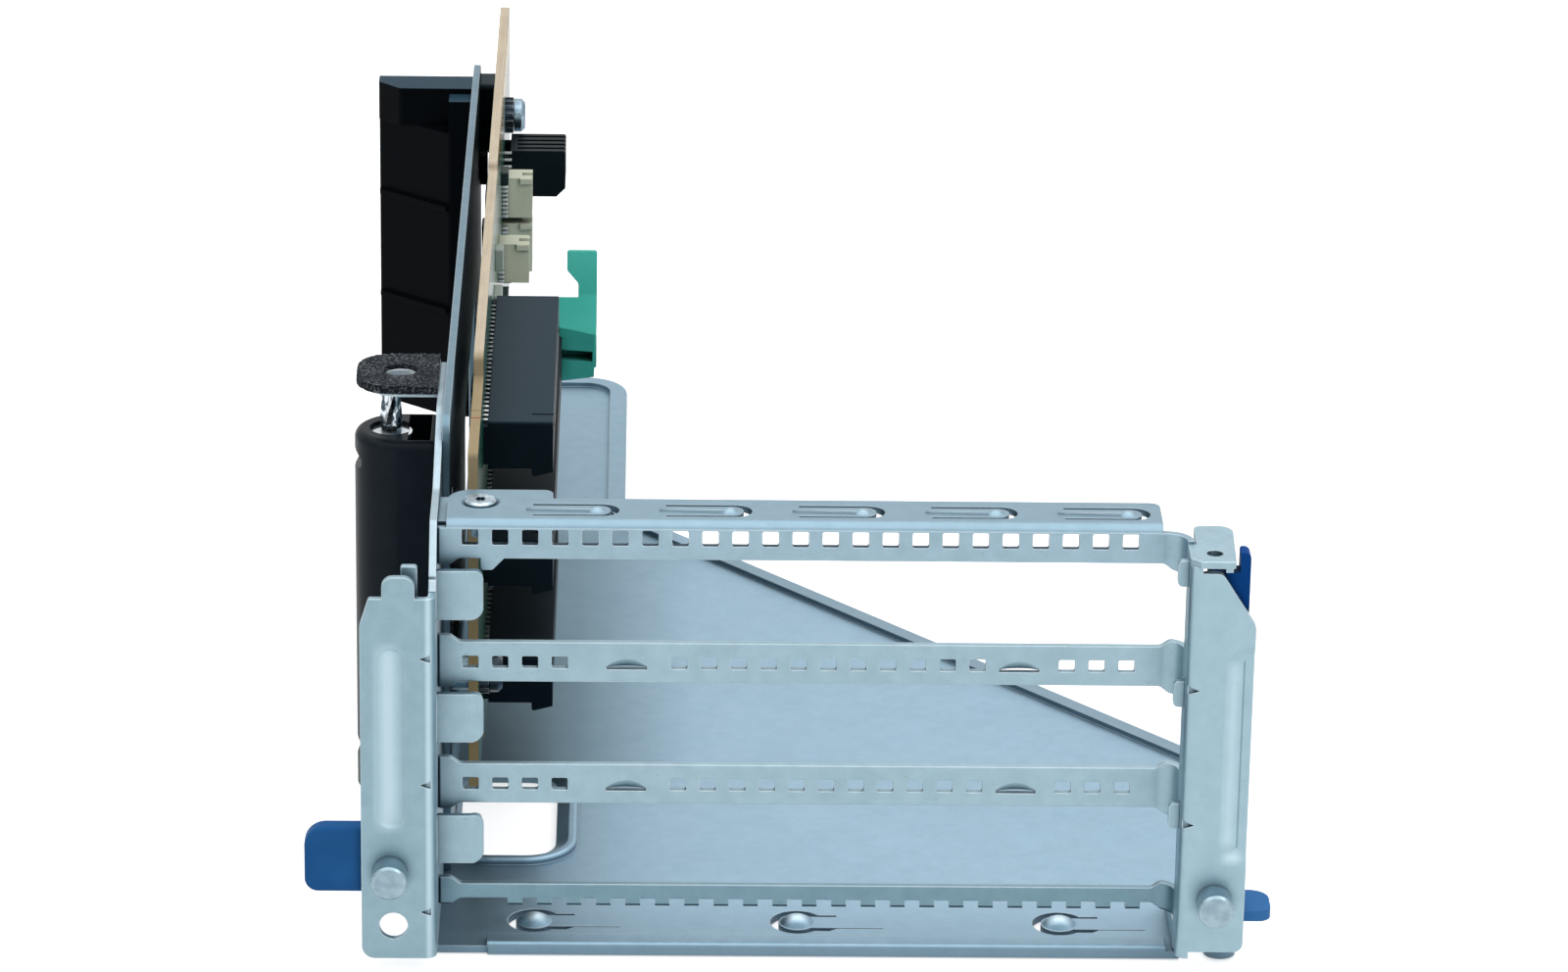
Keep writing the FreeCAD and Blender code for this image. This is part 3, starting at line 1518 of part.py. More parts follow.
def make_driver_holder():
    """Black sleeve on the wall's outer face, round on its free side, with a pocket and grip grooves."""
    rear = holder_front + holder_depth
    plan = [
        (-sheet, holder_front, holder_wall_round),
        (-holder_reach, holder_front, holder_round),
        (-holder_reach, rear, holder_round),
        (-sheet, rear, holder_wall_round),
    ]
    holder = prism(plan, "XY", holder_bottom, holder_top)
    rim = [edge for edge in holder.Edges
           if edge.BoundBox.ZMin > holder_top - fit_clearance and edge.BoundBox.XMin < -2 * sheet]
    holder = holder.makeFillet(holder_rim_drop, rim)
    pocket_right = -sheet - holder_pocket_wall
    cuts = [block(pocket_right - holder_pocket_width, pocket_right, holder_front + holder_pocket_wall,
                  rear - holder_pocket_wall, holder_top - holder_pocket_depth, 2 * holder_top)]
    groove_right, groove_left = -holder_reach + holder_groove, -holder_reach - holder_groove
    flare = holder_groove_flat + 2 * holder_groove
    for z in holder_groove_rows:
        cuts.append(prism([
            (groove_left, z - flare, 0),
            (groove_right, z - holder_groove_flat, 0),
            (groove_right, z + holder_groove_flat, 0),
            (groove_left, z + flare, 0),
        ], "XZ", holder_front, rear))
    seat = Vector(bit_x, holder_middle, holder_top - collar_sunk)
    cuts.append(rod(collar_radius + fit_clearance, seat, up, 2 * collar_sunk))
    cuts.append(rod(bit_shank_radius + fit_clearance, seat - Vector(0, 0, bit_sunk), up, bit_sunk))
    return without(holder, cuts)


def star(z, turn):
    """Six-pointed outline of the driver's fluted end at one height, turned by an angle."""
    points = []
    for index in range(2 * lobe_count):
        angle = turn + index * math.pi / lobe_count
        radius = bit_valley if index % 2 else bit_radius
        points.append((bit_x + radius * math.cos(angle), holder_middle + radius * math.sin(angle), 0))
    return outline(points, lambda p: Vector(p.x, p.y, z))


def make_driver_bit():
    """Steel driver: a twisted six-point end above a ring, a flat collar and a shank in the holder."""
    seat = holder_top - collar_sunk
    ring_foot = seat + collar_height
    star_foot = ring_foot + bit_ring_height
    star_top = wall_top - sheet - bit_gap
    shank = rod(bit_shank_radius, Vector(bit_x, holder_middle, seat - bit_sunk), up, bit_sunk)
    collar = rod(collar_radius, Vector(bit_x, holder_middle, seat), up, collar_height)
    ring = rod(bit_ring_radius, Vector(bit_x, holder_middle, ring_foot), up, bit_ring_height)
    steps = [index / (bit_section_count - 1) for index in range(bit_section_count)]
    height, twist = star_top - star_foot, math.radians(bit_twist)
    sections = [star(star_foot + step * height, step * twist) for step in steps]
    return joined([shank, collar, ring, Part.makeLoft(sections, True, True)])


def build_nodes():
    """Every sub-part by its node name."""
    screws, washers = [], []
    for y, z in (far_screw,) + standoff_places:
        screw, washer = board_fixing(y, z)
        screws.append(screw)
        washers.append(washer)
    nodes = {
        "base_plate": make_base_plate(),
        "left_wall": make_left_wall(),
        "screw_tab": make_screw_tab(),
        "hook_tab": make_hook_tab(),
        "foam_tab": make_foam_tab(),
        "bracket_clips": Part.makeCompound([tongue_clip(middle) for middle in clip_middles()]),
        "left_post": make_left_post(),
        "right_post": make_right_post(),
        "spring_tab": make_spring_tab(),
        "flange_nubs": Part.makeCompound(
            [flange_nub(top) for top in (lower_rail_top, upper_rail_top, top_rail_top)]),
        "top_rail": make_top_rail(),
        "upper_rail": slotted_rail(upper_rail_top),
        "lower_rail": slotted_rail(lower_rail_top),
        "bottom_rail": make_bottom_rail(),
        "side_plate": make_side_plate(),
        "left_stud": locating_stud(-left_stud_x, left_stud_z, lift_thickness),
        "pivot_stud": locating_stud(pivot.x, pivot_z, lever_thickness + 2 * lever_gap),
        "rail_screw": make_rail_screw(),
        "plate_rivets": make_plate_rivets(),
        "board_screws": Part.makeCompound(screws),
        "board_washers": Part.makeCompound(washers),
        "board_standoffs": make_standoffs(),
        "board_spacer": make_board_spacer(),
        "riser_board": make_riser_board(),
        "slot_connector_top": slot_connector(upper_rail_top, short_length),
        "slot_connector_middle": make_middle_connector(),
        "slot_connector_bottom": slot_connector(bottom_rail_top, short_length),
        "connector_latch": make_connector_latch(),
        "latch_pin": make_latch_pin(),
        "power_header": make_power_header(),
        "board_components": flat_parts(front_parts, board_right, board_right + component_rise),
        "back_components": flat_parts(back_parts, board_left - back_rise, board_left),
        "air_baffle": make_air_baffle(),
        "driver_holder": make_driver_holder(),
        "driver_bit": make_driver_bit(),
        "retainer_lever": make_retainer_lever(),
        "lift_tab": make_lift_tab(),
        "foam_pad": make_foam_pad(),
    }
    for index, (front, bottom, height) in enumerate(socket_rows):
        nodes["signal_socket_%d" % (index + 1)] = signal_socket(front, bottom, height)
    return nodes


# The origin is moved to the middle of the part's underside
os.makedirs("parts", exist_ok=True)
for name, shape in build_nodes().items():
    shape.translate(origin)
    shape.exportStep("parts/%s.step" % name)
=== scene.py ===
import math

import bpy
from mathutils import Matrix, Vector


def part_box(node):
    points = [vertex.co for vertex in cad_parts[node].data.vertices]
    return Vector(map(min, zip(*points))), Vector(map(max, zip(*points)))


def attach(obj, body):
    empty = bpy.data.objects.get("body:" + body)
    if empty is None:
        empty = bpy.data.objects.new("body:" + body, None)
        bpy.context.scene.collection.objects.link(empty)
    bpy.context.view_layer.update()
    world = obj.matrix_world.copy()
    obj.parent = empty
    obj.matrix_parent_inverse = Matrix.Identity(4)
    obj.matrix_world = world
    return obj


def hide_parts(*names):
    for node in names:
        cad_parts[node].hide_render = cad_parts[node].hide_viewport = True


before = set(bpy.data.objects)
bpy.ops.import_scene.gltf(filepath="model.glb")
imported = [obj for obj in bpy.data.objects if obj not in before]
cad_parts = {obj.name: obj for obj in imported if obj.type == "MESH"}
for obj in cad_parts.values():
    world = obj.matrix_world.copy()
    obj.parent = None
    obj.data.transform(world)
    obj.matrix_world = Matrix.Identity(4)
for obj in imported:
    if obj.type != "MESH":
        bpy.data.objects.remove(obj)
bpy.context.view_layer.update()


# The cover plate is the floor of the cage: thin zinc-coated steel with hemmed edges, a rimmed hand
# hole and pressed spring tongues. The same coating is on every sheet piece of the cage, so its
# clouding, grain and specks are one group. Another group marks the edges, which are lightened partly as
# worn bare steel and partly as a painted highlight, and the corners, which are darkened as painted shade.
def paint(red, green, blue):
    """A colour as it is seen, 0 to 255, turned into the linear one that a shader takes."""
    shades = []
    for shade in (red, green, blue):
        share = shade / 255
        shades.append(share / 12.92 if share <= 0.04045 else ((share + 0.055) / 1.055) ** 2.4)
    return (*shades, 1)


def start_group(name, inputs, outputs):
    """A new shader group with named sockets, and its two end nodes."""
    group = bpy.data.node_groups.new(name, "ShaderNodeTree")
    for title, kind in inputs:
        group.interface.new_socket(title, in_out="INPUT", socket_type=kind)
    for title, kind in outputs:
        group.interface.new_socket(title, in_out="OUTPUT", socket_type=kind)
    return group, group.nodes.new("NodeGroupInput"), group.nodes.new("NodeGroupOutput")


def add(tree, kind, **settings):
    """A node in a tree: its own settings by name, its sockets' values by title."""
    node = tree.nodes.new(kind)
    for title, value in settings.items():
        if hasattr(node, title):
            setattr(node, title, value)
        else:
            node.inputs[title.replace("_", " ")].default_value = value
    return node


def object_noise(tree, scale, detail=2, stretch=(1, 1, 1)):
    """Noise that sits on the piece itself, stretched along its axes."""
    place = add(tree, "ShaderNodeTexCoord")
    turn = add(tree, "ShaderNodeMapping", Scale=stretch)
    noise = add(tree, "ShaderNodeTexNoise", Scale=scale, Detail=detail)
    tree.links.new(place.outputs["Object"], turn.inputs["Vector"])
    tree.links.new(turn.outputs["Vector"], noise.inputs["Vector"])
    return noise.outputs["Fac"]


def ranged(tree, value, start, end, low, high):
    """A value between start and end, drawn out to run from low to high and held there."""
    ramp = add(tree, "ShaderNodeMapRange", From_Min=start, From_Max=end, To_Min=low, To_Max=high)
    tree.links.new(value, ramp.inputs["Value"])
    return ramp.outputs["Result"]


def worked(tree, operation, *values):
    """The result of a sum on sockets and numbers."""
    node = add(tree, "ShaderNodeMath", operation=operation)
    for socket, value in zip(node.inputs, values):
        if isinstance(value, (int, float)):
            socket.default_value = value
        else:
            tree.links.new(value, socket)
    return node.outputs[0]


def blended(tree, share, first, second):
    """Two colours mixed by a mask; each is a colour or a socket."""
    mix = add(tree, "ShaderNodeMix", data_type="RGBA")
    colours = [socket for socket in mix.inputs if socket.type == "RGBA"]
    for socket, colour in zip(colours, (first, second)):
        if isinstance(colour, tuple):
            socket.default_value = colour
        else:
            tree.links.new(colour, socket)
    tree.links.new(share, mix.inputs["Factor"])
    return [socket for socket in mix.outputs if socket.type == "RGBA"][0]


zinc_group, zinc_in, zinc_out = start_group(
    "zinc_coating",
    [("Light", "NodeSocketColor"), ("Dark", "NodeSocketColor")],
    [("Color", "NodeSocketColor"), ("Roughness", "NodeSocketFloat"), ("Height", "NodeSocketFloat")],
)
clouds = ranged(zinc_group, object_noise(zinc_group, 38, 3), 0.35, 0.65, 0, 0.2)
blotches = ranged(zinc_group, object_noise(zinc_group, 420, 4), 0.3, 0.7, 0, 0.5)
specks = ranged(zinc_group, object_noise(zinc_group, 1300, 1), 0.7, 0.78, 0, 0.6)
share = worked(zinc_group, "ADD", worked(zinc_group, "ADD", clouds, blotches), specks)
shade = blended(zinc_group, share, zinc_in.outputs["Light"], zinc_in.outputs["Dark"])
zinc_group.links.new(shade, zinc_out.inputs["Color"])
dull = ranged(zinc_group, object_noise(zinc_group, 160, 4), 0.3, 0.7, 0.4, 0.46)
zinc_group.links.new(dull, zinc_out.inputs["Roughness"])
zinc_group.links.new(object_noise(zinc_group, 900, 3), zinc_out.inputs["Height"])

# The edge mask, from rounded normals, lightens cut edges partly as worn steel and partly as a painted
# highlight. The corner mask, from ambient occlusion, darkens corners as painted shade.
edge_and_corner_group, edge_and_corner_in, edge_and_corner_out = start_group(
    "worn_edge_highlight_and_corner_shade",
    [("Width", "NodeSocketFloat"), ("Reach", "NodeSocketFloat")],
    [("Edge", "NodeSocketFloat"), ("CornerShade", "NodeSocketFloat"), ("Normal", "NodeSocketVector")],
)
rounded = add(edge_and_corner_group, "ShaderNodeBevel", samples=6)
edge_and_corner_group.links.new(edge_and_corner_in.outputs["Width"], rounded.inputs["Radius"])
facing = add(edge_and_corner_group, "ShaderNodeVectorMath", operation="DOT_PRODUCT")
edge_and_corner_group.links.new(rounded.outputs["Normal"], facing.inputs[0])
edge_and_corner_group.links.new(add(edge_and_corner_group, "ShaderNodeNewGeometry").outputs["True Normal"], facing.inputs[1])
edge_share = ranged(edge_and_corner_group, facing.outputs["Value"], 0.99, 0.86, 0, 1)
edge_and_corner_group.links.new(edge_share, edge_and_corner_out.inputs["Edge"])
corner_shade_probe = add(edge_and_corner_group, "ShaderNodeAmbientOcclusion", samples=8)
edge_and_corner_group.links.new(edge_and_corner_in.outputs["Reach"], corner_shade_probe.inputs["Distance"])
corner_share = ranged(edge_and_corner_group, corner_shade_probe.outputs["AO"], 0.85, 0.25, 0, 1)
edge_and_corner_group.links.new(corner_share, edge_and_corner_out.inputs["CornerShade"])
edge_and_corner_group.links.new(rounded.outputs["Normal"], edge_and_corner_out.inputs["Normal"])


def start_material(name):
    """A new material with its tree and its shader."""
    material = bpy.data.materials.new(name)
    material.use_nodes = True
    tree = material.node_tree
    return material, tree, tree.nodes["Principled BSDF"]


def relief(tree, shader, height, strength, distance, normal=None):
    """Surface height turned into the shader's normal, on top of another normal if there is one."""
    bump = add(tree, "ShaderNodeBump", Strength=strength, Distance=distance)
    tree.links.new(height, bump.inputs["Height"])
    if normal:
        tree.links.new(normal, bump.inputs["Normal"])
    tree.links.new(bump.outputs["Normal"], shader.inputs["Normal"])


def zinc_sheet(name, light, dark, reach=0.006):
    """Coated sheet of one shade, lightened along its cut edges partly as worn steel and partly as a
    painted highlight, with painted shade in its corners.
    """
    material, tree, shader = start_material(name)
    coating = add(tree, "ShaderNodeGroup", node_tree=zinc_group, Light=light, Dark=dark)
    edge_and_corner = add(tree, "ShaderNodeGroup", node_tree=edge_and_corner_group, Width=0.0003, Reach=reach)
    # Painted highlight and painted shade: the edges are lightened, partly as worn steel, and the corners
    # are darkened.
    edged = blended(tree, worked(tree, "MULTIPLY", edge_and_corner.outputs["Edge"], 0.55),
                    coating.outputs["Color"], paint(222, 234, 240))
    shaded = blended(tree, worked(tree, "MULTIPLY", edge_and_corner.outputs["CornerShade"], 0.8), edged, paint(62, 82, 96))
    tree.links.new(shaded, shader.inputs["Base Color"])
    tree.links.new(coating.outputs["Roughness"], shader.inputs["Roughness"])
    shader.inputs["Metallic"].default_value = 0.94
    relief(tree, shader, coating.outputs["Height"], 0.1, 0.0001, edge_and_corner.outputs["Normal"])
    return material


def dress(material, *names):
    """One material on the CAD nodes of these names."""
    for name in names:
        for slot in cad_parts[name].material_slots:
            slot.material = material


def axes(tree, kind="Object"):
    """The three sockets of the place on a piece, or of its normal, along X, Y and Z."""
    split = add(tree, "ShaderNodeSeparateXYZ")
    tree.links.new(add(tree, "ShaderNodeTexCoord").outputs[kind], split.inputs["Vector"])
    return split.outputs


def toned(material, colour, *patches):
    """Another tone on soft patches of a piece, each by its middle, half size, blur and strength."""
    tree = material.node_tree
    shader = tree.nodes["Principled BSDF"]
    coat = shader.inputs["Base Color"].links[0].from_socket
    spot = axes(tree)
    for middle, half, blur, strength in patches:
        patch = strength
        for axis, centre, reach in zip("XYZ", middle, half):
            off = worked(tree, "ABSOLUTE", worked(tree, "SUBTRACT", spot[axis], centre))
            patch = worked(tree, "MULTIPLY", patch, ranged(tree, off, reach + blur, reach, 0, 1))
        coat = blended(tree, patch, coat, colour)
    tree.links.new(coat, shader.inputs["Base Color"])


throughout = 1
hem_top = 0.0021
tongue_count = 3
tongue_first = -0.0395
tongue_pitch = 0.04115
tongue_depth = -0.1118
cover_zinc = zinc_sheet("cover_zinc", paint(149, 177, 195), paint(136, 164, 182), 0.022)
# Painted shade: a darker patch on the plate beside the connectors stands for their shadow and dark
# reflection. The plate is also darker at its back left, along its front strip and on its diagonal hem.
toned(
    cover_zinc, paint(96, 124, 138),
    ((-0.05, 0.0, 0), (0.016, 0.05, throughout), 0.02, 0.8),
    ((-0.04, 0.1, 0), (0.02, 0.04, throughout), 0.03, 0.3),
    ((0, -0.118, 0), (throughout, 0.004, throughout), 0.01, 0.25),
)
# Painted highlight: a light spot on the dome of each spring tongue.
for number in range(tongue_count):
    dome = (tongue_first + number * tongue_pitch, tongue_depth, 0)
    toned(cover_zinc, paint(214, 232, 240), (dome, (0.0006, 0.0005, throughout), 0.0014, 0.7))
toned(cover_zinc, paint(100, 120, 130), ((0.04, 0.02, hem_top), (0.05, 0.075, 0.0003), 0.0002, 0.5))
dress(cover_zinc, "base_plate")

# The rails, tabs, walls and clips are folded from the same coated sheet and joined at spots. The lowest
# rail is a darker copy of the coating, a painted shade, with a painted shadow line along the foot of its
# teeth; the top rail carries a painted shade along its flange, and the plate that carries the board is
# darker than the rest.
rail_flange = 0.0703
tooth_foot = 0.00683
driver_hole = (-0.0615, -0.0706)
frame_zinc = zinc_sheet("frame_zinc", paint(155, 181, 192), paint(137, 163, 174))
dress(frame_zinc, "screw_tab", "hook_tab", "bracket_clips", "flange_nubs", "spring_tab")
dress(frame_zinc, "upper_rail", "lower_rail")
dress(zinc_sheet("wall_zinc", paint(164, 182, 191), paint(146, 164, 173), 0.002), "left_wall")
top_zinc = zinc_sheet("top_zinc", paint(152, 177, 190), paint(134, 159, 171))
# Painted shade: a darker band along the flange tones down its lit bend.
toned(top_zinc, paint(104, 130, 146), ((0, 0, rail_flange), (throughout, throughout, 0.0005), 0.0004, 0.5))
dress(top_zinc, "top_rail")
tab_zinc = zinc_sheet("tab_zinc", paint(184, 200, 207), paint(166, 183, 191), 0.002)
toned(tab_zinc, paint(206, 214, 218), ((*driver_hole, 0.0758), (0.0027, 0.0027, 0.01), 0.0002, 0.8))
dress(tab_zinc, "foam_tab")
# Painted shade: the lowest rail is a darker copy of the coating, and a painted shadow line runs along the
# foot of its teeth.
low_zinc = zinc_sheet("low_zinc", paint(122, 151, 164), paint(106, 135, 148))
toned(low_zinc, paint(26, 44, 54), ((0, 0, tooth_foot), (throughout, throughout, 0.00013), 0.0001, 0.85))
dress(low_zinc, "bottom_rail")
dress(zinc_sheet("plate_zinc", paint(112, 138, 152), paint(92, 117, 131)), "side_plate")

# The posts have a channel and a recess pressed into their faces. Painted highlights lighten the channel,
# the left post's bend and the recess's wall and end, and a painted shade line lies in the foot of the
# recess. The left post is a darker copy of the coating, a painted shade.
painted_highlight = paint(206, 228, 238)
channel = (-0.0616, 0, 0.039)
bend = (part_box("left_post")[1][0] - 0.0011, 0, 0.03)
recess_wall = (0.0672, 0, 0.037)
recess_end = (0.0679, 0, 0.0199)
recess_foot = (0.0687, 0, 0.037)
left_zinc = zinc_sheet("left_zinc", paint(144, 171, 182), paint(130, 157, 168), 0.0025)
toned(left_zinc, painted_highlight, (channel, (0.0004, throughout, 0.0138), 0.0022, 0.5))
toned(left_zinc, painted_highlight, (bend, (0.00015, throughout, 0.04), 0.0005, 0.5))
dress(left_zinc, "left_post")
right_zinc = zinc_sheet("right_zinc", paint(157, 184, 195), paint(144, 171, 182), 0.0025)
toned(
    right_zinc, paint(210, 230, 240),
    (recess_wall, (0.0001, throughout, 0.0145), 0.0014, 0.32),
    (recess_end, (0.0006, throughout, 0.0001), 0.0013, 0.5),
)
toned(right_zinc, paint(74, 100, 112), (recess_foot, (0.00006, throughout, 0.0155), 0.00014, 0.5))
dress(right_zinc, "right_post")


# The studs, rivets and screws are turned or headed from plated steel, smoother than the sheet, with
# painted shade in their corners and edges lightened partly as worn steel, partly as a painted highlight.
# The board's front screw is painted dark like the washers, a painted shade that keeps it from showing
# as a bright spot, and the rail screw is a lighter copy of the steel, a painted highlight.
def plated(name, light, dark, roughness, grain, reach=0.003):
    """Plated steel with tool marks of one size."""
    material, tree, shader = start_material(name)
    tone = blended(tree, ranged(tree, object_noise(tree, grain, 3), 0.35, 0.65, 0, 1), light, dark)
    edge_and_corner = add(tree, "ShaderNodeGroup", node_tree=edge_and_corner_group, Width=0.0002, Reach=reach)
    # Painted highlight on the edges, partly worn steel, and painted shade in the corners.
    edged = blended(tree, worked(tree, "MULTIPLY", edge_and_corner.outputs["Edge"], 0.6), tone, paint(226, 236, 242))
    shaded = blended(tree, edge_and_corner.outputs["CornerShade"], edged, paint(44, 58, 70))
    tree.links.new(shaded, shader.inputs["Base Color"])
    tree.links.new(edge_and_corner.outputs["Normal"], shader.inputs["Normal"])
    shader.inputs["Metallic"].default_value = 0.85
    shader.inputs["Roughness"].default_value = roughness
    return material


front_screw = (-0.0898, 0.034)
stud_steel = plated("stud_steel", paint(156, 179, 190), paint(134, 158, 170), 0.26, 500, 0.0014)
dress(stud_steel, "left_stud", "pivot_stud", "plate_rivets", "board_standoffs", "latch_pin")
screw_steel = plated("screw_steel", paint(150, 172, 186), paint(98, 120, 136), 0.25, 900)
# Painted shade: the front screw is darkened all over.
toned(screw_steel, paint(30, 38, 46), ((0, *front_screw), (throughout, 0.004, 0.004), 0.0005, 0.92))
dress(screw_steel, "board_screws")
# Painted highlight: the rail screw is a lighter copy of the plated steel.
dress(plated("bright_screw", paint(196, 212, 220), paint(136, 156, 168), 0.22, 900, 0.0012), "rail_screw")

# The stored driver is chromed steel: a lobed tip painted with light and dark streaks as a painted
# reflection, above a plain collar that drops into the holder, with painted shade in its corners.
collar_sink = 0.0006
holder_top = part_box("driver_holder")[1][2]
material, tree, shader = start_material("driver_chrome")
tip = ranged(tree, axes(tree)["Z"], holder_top - collar_sink, holder_top, 0, 1)
# Painted reflection: light and dark streaks on the tip.
streaks = ranged(tree, object_noise(tree, 1500, 3, (1, 1, 0.4)), 0.46, 0.55, 0, 1)
chrome = blended(tree, worked(tree, "MULTIPLY", streaks, tip), paint(222, 230, 235), paint(62, 76, 86))
edge_and_corner = add(tree, "ShaderNodeGroup", node_tree=edge_and_corner_group, Width=0.0002, Reach=0.002)
chrome = blended(tree, edge_and_corner.outputs["CornerShade"], chrome, paint(70, 84, 94))
tree.links.new(chrome, shader.inputs["Base Color"])
shader.inputs["Metallic"].default_value = 0.9
shader.inputs["Roughness"].default_value = 0.14
dress(material, "driver_bit")


# The connectors are moulded in black plastic with a fine matt grain that lightens only at a glance
# along a face, and a bluish painted sheen lies on the up-facing faces of the uppermost one. The baffle,
# holder, spacer and header are moulded in like plastic, the baffle's top with the same painted sheen, and
# all carry painted shade in their corners; the small parts on the board are dark packages with a few pale
# ones.
def moulded(name, light, dark, roughness, bend, grain_height):
    """Moulded plastic of one colour; bend is how strongly its skin mirrors."""
    material, tree, shader = start_material(name)
    tone = blended(tree, ranged(tree, object_noise(tree, 110, 3), 0.3, 0.7, 0, 1), light, dark)
    edge_and_corner = add(tree, "ShaderNodeGroup", node_tree=edge_and_corner_group, Width=0.0002, Reach=0.003)
    # Painted shade: corners darkened towards black.
    corner = worked(tree, "MULTIPLY", edge_and_corner.outputs["CornerShade"], 0.7)
    tree.links.new(blended(tree, corner, tone, (0.002, 0.003, 0.004, 1)), shader.inputs["Base Color"])
    shader.inputs["Roughness"].default_value = roughness
    shader.inputs["IOR"].default_value = bend
    relief(tree, shader, object_noise(tree, 2400, 2), grain_height, 0.0001, edge_and_corner.outputs["Normal"])
    return material


def painted_top_sheen(material, sheen_colour, level):
    """A bluish painted sheen on the faces that look up, from a level on."""
    tree = material.node_tree
    shader = tree.nodes["Principled BSDF"]
    bare = shader.inputs["Base Color"].links[0].from_socket
    sheen_share = ranged(tree, axes(tree, "Normal")["Z"], 0.6, 0.95, 0, 0.9)
    sheen_share = worked(tree, "MULTIPLY", sheen_share, worked(tree, "GREATER_THAN", axes(tree)["Z"], level))
    tree.links.new(blended(tree, sheen_share, bare, sheen_colour), shader.inputs["Base Color"])
    return material


connector_black = moulded("connector_black", paint(15, 29, 37), paint(11, 23, 30), 0.35, 1.11, 0.1)
painted_top_sheen(connector_black, paint(28, 50, 62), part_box("slot_connector_top")[1][2] - 0.001)
dress(connector_black, "slot_connector_top", "slot_connector_middle", "slot_connector_bottom")
dress(connector_black, "board_spacer")
baffle_black = moulded("baffle_black", paint(5, 10, 15), paint(4, 8, 12), 0.35, 1.1, 0.14)
dress(painted_top_sheen(baffle_black, paint(38, 66, 82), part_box("air_baffle")[1][2] - 0.003), "air_baffle")
dress(moulded("holder_black", paint(22, 32, 40), paint(15, 23, 30), 0.34, 1.18, 0.1), "driver_holder")
dress(moulded("header_black", paint(18, 30, 36), paint(13, 22, 27), 0.4, 1.16, 0.1), "power_header")
part_dark = moulded("part_dark", paint(34, 56, 56), paint(24, 42, 44), 0.4, 1.3, 0.1)
pale_parts = (0, 0.0068, 0.061)
toned(part_dark, paint(176, 188, 178), (pale_parts, (throughout, 0.0075, 0.0095), 0.0002, 0.9))
dress(part_dark, "board_components")

# The latch is moulded in one piece of green plastic, clear enough to glow a little in the light. It
# clips onto its pin at the end of the long connector.
latch_green = moulded("latch_green", paint(78, 190, 176), paint(66, 178, 164), 0.4, 1.16, 0.06)
shader = latch_green.node_tree.nodes["Principled BSDF"]
shader.inputs["Subsurface Weight"].default_value = 0.15
shader.inputs["Subsurface Radius"].default_value = (0.0004, 0.001, 0.0008)
dress(latch_green, "connector_latch")

# The lift tab and the retainer lever are moulded in blue, the colour of what a hand may touch. The lever
# turns on the pivot stud, and its heel, which faces up, is lighter, a painted highlight.
dress(moulded("touch_blue", paint(44, 103, 164), paint(36, 91, 150), 0.42, 1.1, 0.06), "lift_tab")
lever_blue = moulded("lever_blue", paint(18, 78, 150), paint(14, 68, 136), 0.42, 1.08, 0.06)
# Painted highlight: the heel is lighter.
toned(lever_blue, paint(70, 128, 188), ((0, 0, 0), (throughout, throughout, 0.012), 0.002, 0.9))
dress(lever_blue, "retainer_lever")

# The signal sockets are small housings moulded in cream nylon, with a notch for the plug's catch. They
# are soldered to the board by their leads.
dress(moulded("socket_cream", paint(226, 230, 210), paint(210, 214, 192), 0.5, 1.3, 0.06),
      "signal_socket_1", "signal_socket_2", "signal_socket_3")

# The riser board is glass laminate: its two faces carry green lacquer over copper tracks, and its sawn
# edges show the tan layers.
board_low, board_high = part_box("riser_board")
lacquer_thickness = 0.00003
layer_waves = 22000
edge_lines = ((-0.0811, 0.0001, paint(60, 54, 44)), (-0.0844, 0.0002, paint(146, 62, 44)))
front_tint = (-0.064, -0.068)
low_tint = (0.042, 0.066)
track_pitch = 0.0006
track_cell_length = 0.0125
track_cell_height = 0.0066
track_shares = (("Z", 0.2, 0.62), ("Y", 0.62, 0.84))
via_count_per_metre = 260
via_ring_share = 0.13
via_bore_share = 0.06
material, tree, shader = start_material("board_laminate")
place = axes(tree)
middle = (board_low[0] + board_high[0]) / 2
depth = worked(tree, "ABSOLUTE", worked(tree, "SUBTRACT", place["X"], middle))
half = (board_high[0] - board_low[0]) / 2
face = worked(tree, "GREATER_THAN", depth, half - lacquer_thickness)
layers = worked(tree, "SINE", worked(tree, "MULTIPLY", depth, layer_waves))
layers = ranged(tree, layers, 0.5, 1, 0, 0.35)
fibres = ranged(tree, object_noise(tree, 700, 4, (1, 0.2, 0.2)), 0.3, 0.7, 0, 0.3)
edge = blended(tree, worked(tree, "ADD", layers, fibres), paint(214, 200, 178), paint(160, 146, 122))
edge = blended(tree, ranged(tree, place["Y"], *front_tint, 0, 0.7), edge, paint(140, 118, 70))
edge = blended(tree, ranged(tree, place["Z"], *low_tint, 0.6, 0), edge, paint(158, 132, 84))
for line, width, ink in edge_lines:
    off = worked(tree, "ABSOLUTE", worked(tree, "SUBTRACT", place["Y"], line))
    edge = blended(tree, worked(tree, "LESS_THAN", off, width), edge, ink)
cells = add(tree, "ShaderNodeVectorMath", operation="SNAP")
tree.links.new(add(tree, "ShaderNodeTexCoord").outputs["Object"], cells.inputs[0])
cells.inputs[1].default_value = (1, track_cell_length, track_cell_height)
zone = add(tree, "ShaderNodeTexWhiteNoise")
tree.links.new(cells.outputs["Vector"], zone.inputs["Vector"])
tracks = 0
for axis, start, end in track_shares:
    stripe = worked(tree, "FRACT", worked(tree, "DIVIDE", place[axis], track_pitch))
    stripe = worked(tree, "GREATER_THAN", stripe, 0.5)
    inside = worked(tree, "COMPARE", zone.outputs["Value"], (start + end) / 2, (end - start) / 2)
    tracks = worked(tree, "ADD", tracks, worked(tree, "MULTIPLY", stripe, inside))
flat = add(tree, "ShaderNodeMapping", Scale=(0, 1, 1))
tree.links.new(add(tree, "ShaderNodeTexCoord").outputs["Object"], flat.inputs["Vector"])
